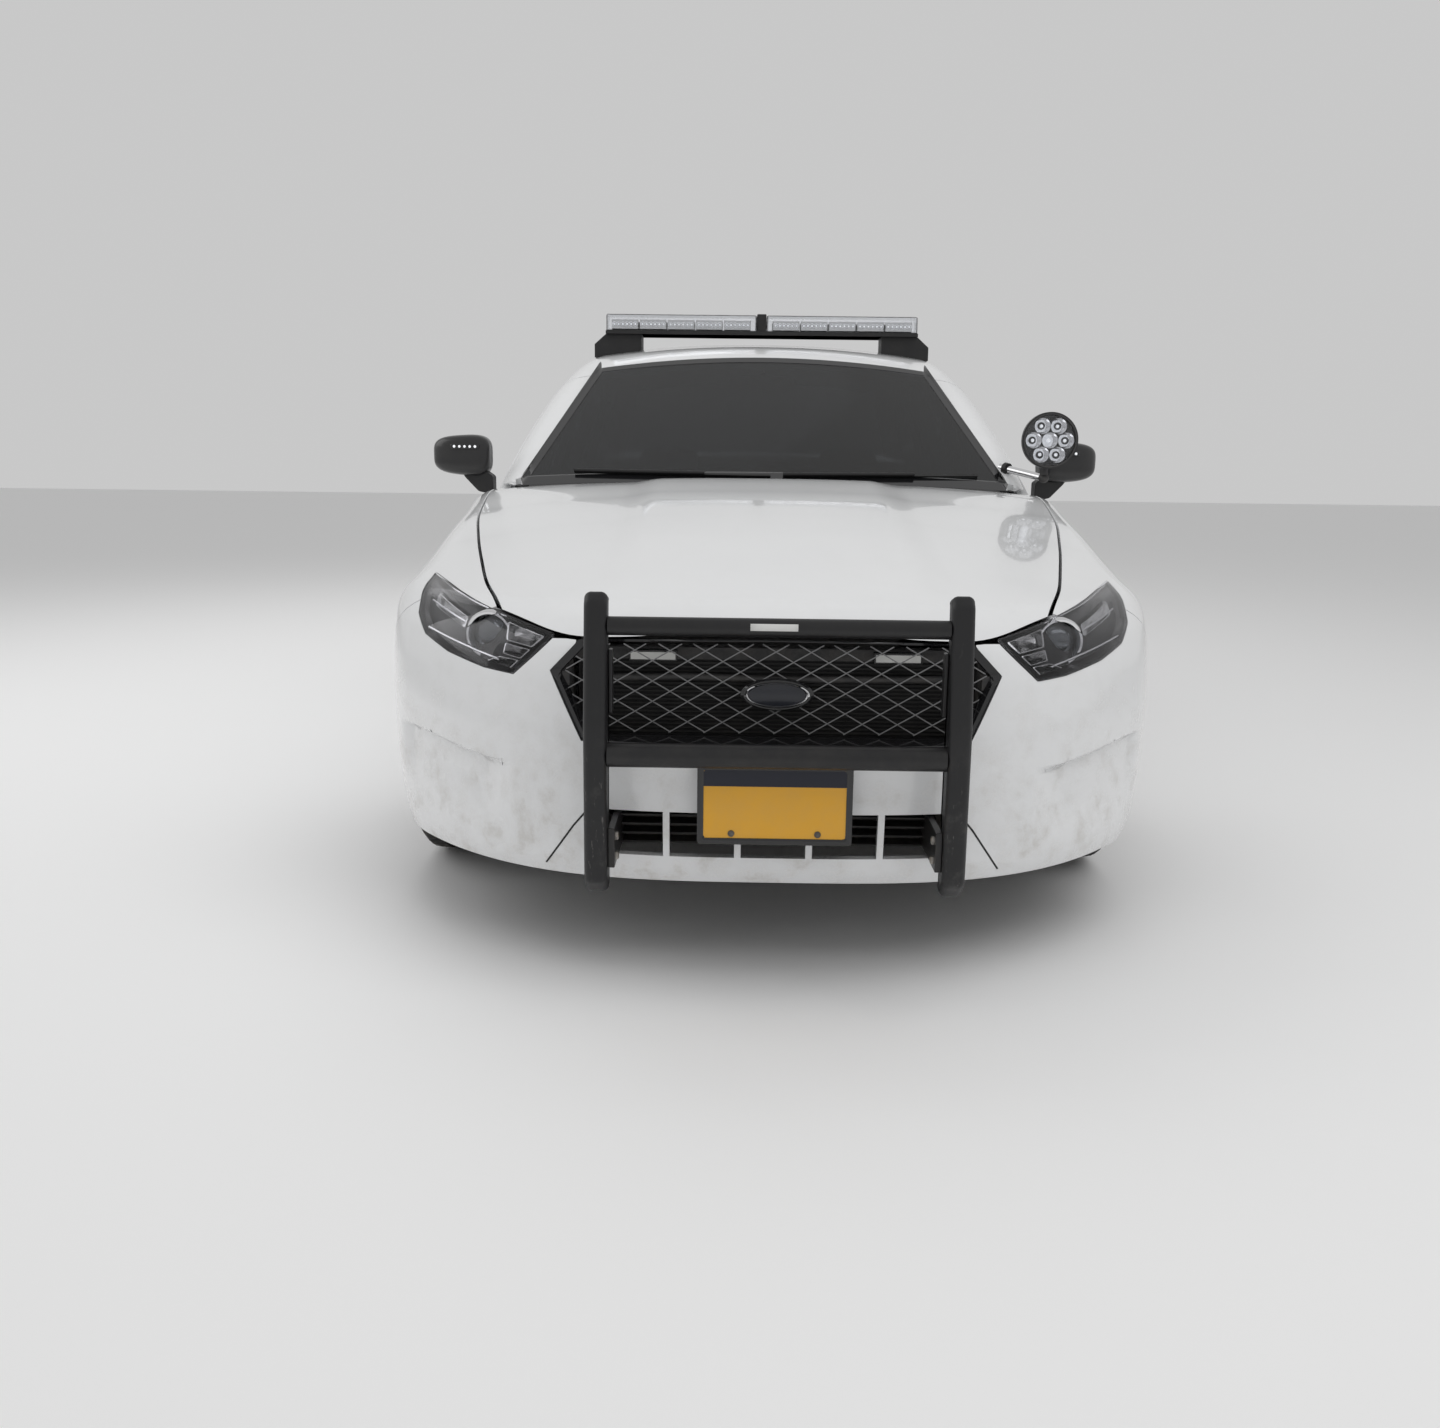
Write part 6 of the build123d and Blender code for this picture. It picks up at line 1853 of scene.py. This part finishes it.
@dataclass
class Cabin:
    """Dashboard, steering wheel, vents, screen and mirror that show through the glass."""

    shop: Workshop
    instrument_hood: Box = ((600, 760), (220, 520), (938, 1000))
    centre_screen: Box = ((588, 604), (-110, 110), (840, 950))
    vent: Box = ((576, 590), (-50, 50), (880, 925))
    vents: Sequence[float] = (-640, -180, 180, 640)
    mirror: Box = ((300, 330), (-120, 120), (1345, 1405))
    mirror_stem: Sequence[Spot] = ((315, 0, 1400), (330, 0, 1420))
    stem_radius: float = 8

    def build(self) -> None:
        """Makes the inner pieces."""
        shop = self.shop
        shop.refine("dashboard", "interior_plastic", bevel=12)
        shop.refine("steering_wheel", "interior_plastic", body="steering_wheel", bevel=4)
        shop.refine("parcel_shelf", "interior_plastic", bevel=3)
        shop.add("instrument_hood", ellipsoid(*self.instrument_hood, 0.45), "interior_plastic", sharp=60)
        shop.add("centre_screen", block(*self.centre_screen), "gloss_black", bevel=4)
        vents = [block(*self.vent).moved(y=y) for y in self.vents]
        shop.add("dash_vents", join(vents), "gloss_black", bevel=4)
        shop.add("inside_mirror", ellipsoid(*self.mirror, 0.4), "gloss_black", sharp=60)
        shop.add("inside_mirror_stem", tube(self.mirror_stem, self.stem_radius), "gloss_black")


@dataclass
class Trims:
    """Upper tail lenses, boot ledge, windscreen border, valance seams and door handles."""

    shop: Workshop
    lens_corner: Spot = (TAIL_X + 299, 632.0, 1013.0)
    lens_lean: float = 36
    lens_depth: float = 1.2
    skin_wall: float = 3
    ledge_half: float = 610
    ledge_foot: float = 757.5
    ledge_top: float = 788
    ledge_crown: float = 5
    lid_half: float = 616
    border_foot: Pair = (25, 22)
    border_head: Pair = (96, 46)
    border_half: Pair = (812, 600)
    border_lift: Pair = (0.5, 0.4)
    seam: Outline = ((404, 372), (430, 340), (496, 243))
    seam_width: float = 4
    seam_lift: float = 0.35
    handle_x: Pair = (10, -1120)
    handle_z: float = 842.0
    handle_half: float = 95
    handle_bow: Pair = (4, 20)
    handle_radius: float = 10

    def tail(self) -> None:
        """The upper lens of each tail lamp, and the ledge under the boot lid, both on the body's skin."""
        turn = np.linspace(0, math.pi / 2, 25)[None, :]
        rise = np.linspace(0.002, math.radians(89.5), 25)[:, None]
        level = np.cos(rise)
        way = np.stack([-np.cos(turn) * level, np.sin(turn) * level, np.sin(rise) + 0 * turn], -1)
        start = np.empty(way.shape)
        start[...] = self.lens_corner
        start[..., 1] += self.lens_lean * np.sin(rise) ** 2
        lens = sheet(on_skin(start, way, 700) - way * self.lens_depth)
        for side in Side:
            self.shop.add(f"tail_lens_{side.word}", lens.on(side), "lamp_red", thickness=self.skin_wall)
        across = np.linspace(-self.ledge_half, self.ledge_half, 61)[None, :]
        high = self.ledge_top + self.ledge_crown * (1 - (across / self.lid_half) ** 2)
        z = self.ledge_foot + (high - self.ledge_foot) * np.linspace(0, 1, 5)[:, None]
        start = np.stack(np.broadcast_arrays(TAIL_X + 500, -across, z), -1)
        back = np.array([-1.0, 0.0, 0.0])
        ledge = sheet(on_skin(start, back, 900) - back)
        self.shop.add("boot_ledge", ledge, "white_paint", thickness=self.skin_wall)

    def screen_border(self) -> None:
        """The black band round the windscreen, laid just over the glass."""
        share = np.linspace(-1, 1, 61)[:, None]
        foot = SCREEN_FOOT_Z + self.border_foot[0] - self.border_foot[1] * share**2
        head = ROOF_TOP - self.border_head[0] - self.border_head[1] * share**2
        wide, narrow = self.border_half
        strips = []
        for low, high, left, right in (
            (0.0, 0.075, -1, 1),
            (0.955, 1.0, -1, 1),
            (0.075, 0.955, -1, -0.965),
            (0.075, 0.955, 0.965, 1),
        ):
            u = np.linspace(low, high, 12)[None, :]
            across = left + (right - left) * (share + 1) / 2
            z = foot + (head - foot) * u
            y = across * (wide + (narrow - wide) * u)
            x = screen_x(y, z) + self.border_lift[0]
            strips.append(sheet(np.stack([x, y, z + self.border_lift[1] + 0 * y], -1)))
        self.shop.add("screen_border", join(strips), "gloss_black", thickness=0.3)

    def valance_seams(self) -> None:
        """A dark line on each side of the bumper's skin between points of the front view: the seam to the lower
        valance, drawn black as a painted shadow of its gap.
        """
        corners = np.array(self.seam, float)
        share = np.linspace(0, 1, 40)
        step = np.linspace(0, 1, len(corners))
        line = np.stack([np.interp(share, step, corners[:, axis]) for axis in range(2)], -1)
        way = np.gradient(line, axis=0)
        way /= np.linalg.norm(way, axis=1, keepdims=True)
        square = np.stack([-way[:, 1], way[:, 0]], -1)
        half = self.seam_width / 2
        form = sheet(np.array([on_front(line + square * off, self.seam_lift) for off in (-half, 0, half)]))
        # The black strip is painted shadow of the gap between bumper and lower valance.
        for side in Side:
            self.shop.add(f"valance_seam_{side.word}", form.on(side), "soft_rubber", thickness=0.2)

    def handles(self) -> None:
        """The door handles, each a bar with rounded ends."""
        for place, x in zip(("front", "rear"), self.handle_x):
            span = np.linspace(x - self.handle_half, x + self.handle_half, 24)
            z = np.full(24, self.handle_z)
            near, bow_out = self.handle_bow
            y = side_y(span, z) + near + bow_out * (1 - ((span - x) / self.handle_half) ** 4)
            bar = tube(np.column_stack([span, y, z]), self.handle_radius, 16)
            for side in Side:
                name = f"{place}_{side.word}"
                self.shop.add(f"handle_{name}", bar.on(side), "white_paint", body=f"door_{name}", sharp=60)

    def build(self) -> None:
        """Makes the trims."""
        self.tail()
        self.screen_border()
        self.valance_seams()
        self.handles()


@dataclass
class Studio:
    """Floor, lamps, world and the camera of the photograph."""

    eye: Spot = (5.137, -0.088, 1.128)
    pitch: float = 11.42
    yaw: float = 0.619
    roll: float = -0.694
    focal: float = 1286.0
    picture: int = 1440
    film: float = 36
    world_level: float = 0.5
    seen_level: float = 0.58
    floor_size: float = 60
    floor_colour: Colour = (0.92, 0.92, 0.92)
    aim: Spot = (0, 0, 0.6)
    lights: Sequence[tuple[str, Spot, float, float]] = (
        ("front_lamp", (3.5, 1.5, 5.0), 5.0, 95),
        ("rear_lamp", (-3.0, -2.0, 5.5), 5.0, 80),
        ("side_lamp", (1.0, -5.0, 3.5), 3.5, 40),
    )

    def build(self) -> None:
        """Sets the stage."""
        self.floor()
        self.lamps()
        self.camera()

    def floor(self) -> None:
        """A pale floor that keeps the shadow."""
        bpy.ops.mesh.primitive_plane_add(size=self.floor_size, location=(0, 0, 0))
        made = bpy.context.object
        made.name = "studio_floor"
        shader = Shader("studio_floor")
        shader.set(Base_Color=self.floor_colour, Roughness=0.8)
        made.data.materials.append(shader.material)
        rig.stage(made)

    def lamps(self) -> None:
        """Soft lamps, and an even world that is a little paler for what is seen than for what it lights."""
        world = bpy.data.worlds.new("studio")
        bpy.context.scene.world = world
        shader = Shader("studio", world)
        rays = ("Is Camera Ray", "Is Glossy Ray", "Is Transmission Ray")
        camera, glossy, through = (shader.node("LightPath", output=ray) for ray in rays)
        seen = (camera + glossy + through).low(1)
        ground = shader.tree.nodes["Background"]
        ground.inputs["Color"].default_value = (1, 1, 1, 1)
        shader.put(ground.inputs["Strength"], seen * (self.seen_level - self.world_level) + self.world_level)
        for name, place, size, power in self.lights:
            lamp = bpy.data.lights.new(name, "AREA")
            lamp.energy = power
            lamp.size = size
            made = bpy.data.objects.new(name, lamp)
            made.location = place
            made.visible_glossy = name == "side_lamp"
            made.rotation_euler = (Vector(self.aim) - Vector(place)).to_track_quat("-Z", "Y").to_euler()
            bpy.context.collection.objects.link(made)

    def camera(self) -> None:
        """The camera, from the fitted place, pitch, yaw, roll and focal length in pixels."""
        lens = bpy.data.cameras.new("camera")
        lens.sensor_width = self.film
        lens.lens = self.film * self.focal / self.picture
        made = bpy.data.objects.new("camera", lens)
        pitch, yaw, roll = (math.radians(angle) for angle in (self.pitch, self.yaw, self.roll))
        level = math.cos(pitch)
        ahead = Vector((-level * math.cos(yaw), -level * math.sin(yaw), -math.sin(pitch)))
        aside = Vector((-math.sin(yaw), math.cos(yaw), 0))
        above = aside.cross(ahead)
        right = aside * math.cos(roll) - above * math.sin(roll)
        up = aside * math.sin(roll) + above * math.cos(roll)
        turn = Matrix((right, up, -ahead)).transposed().to_4x4()
        made.matrix_world = Matrix.Translation(self.eye) @ turn
        bpy.context.collection.objects.link(made)
        bpy.context.scene.camera = made
        bpy.context.scene.view_settings.view_transform = "Standard"


PLAIN_NODES = {
    "floor_pan": "underbody",
    "front_liners": "black_plastic",
    "rear_liners": "black_plastic",
    "front_suspension": "dark_metal",
    "rear_suspension": "dark_metal",
    "knuckle_left": "dark_metal",
    "knuckle_right": "dark_metal",
    "engine_block": "dark_metal",
    "exhaust": "bare_steel",
    "fuel_tank": "black_plastic",
    "cowl_panel": "black_plastic",
}


def main() -> None:
    """Builds the whole scene in order."""
    logging.basicConfig(level=logging.INFO, format="%(name)s %(message)s")
    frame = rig.load()
    cad_box = [[float(part) for part in corner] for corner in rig.bounds()]
    shop = Workshop(frame, Stock())
    for node, finish in PLAIN_NODES.items():
        shop.dress(node, finish)
    groups = [group(shop) for group in (BodyShell, Grille, PushGuard, Plate, LightBar, Spotlight, Wipers)]
    groups += [group(shop, side) for side in Side for group in (Headlamp, Mirror)]
    groups += [Wheel(shop, place, side) for place in ("front", "rear") for side in Side]
    groups += [group(shop) for group in (Seats, Cabin, Trims)]
    for group in groups:
        group.build()
    Studio().build()
    visual_box = [[float(part) for part in corner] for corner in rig.bounds()]
    with open("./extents.json", "w") as out:
        json.dump({"cad": cad_box, "visual": visual_box}, out)


if __name__ == "__main__":
    main()
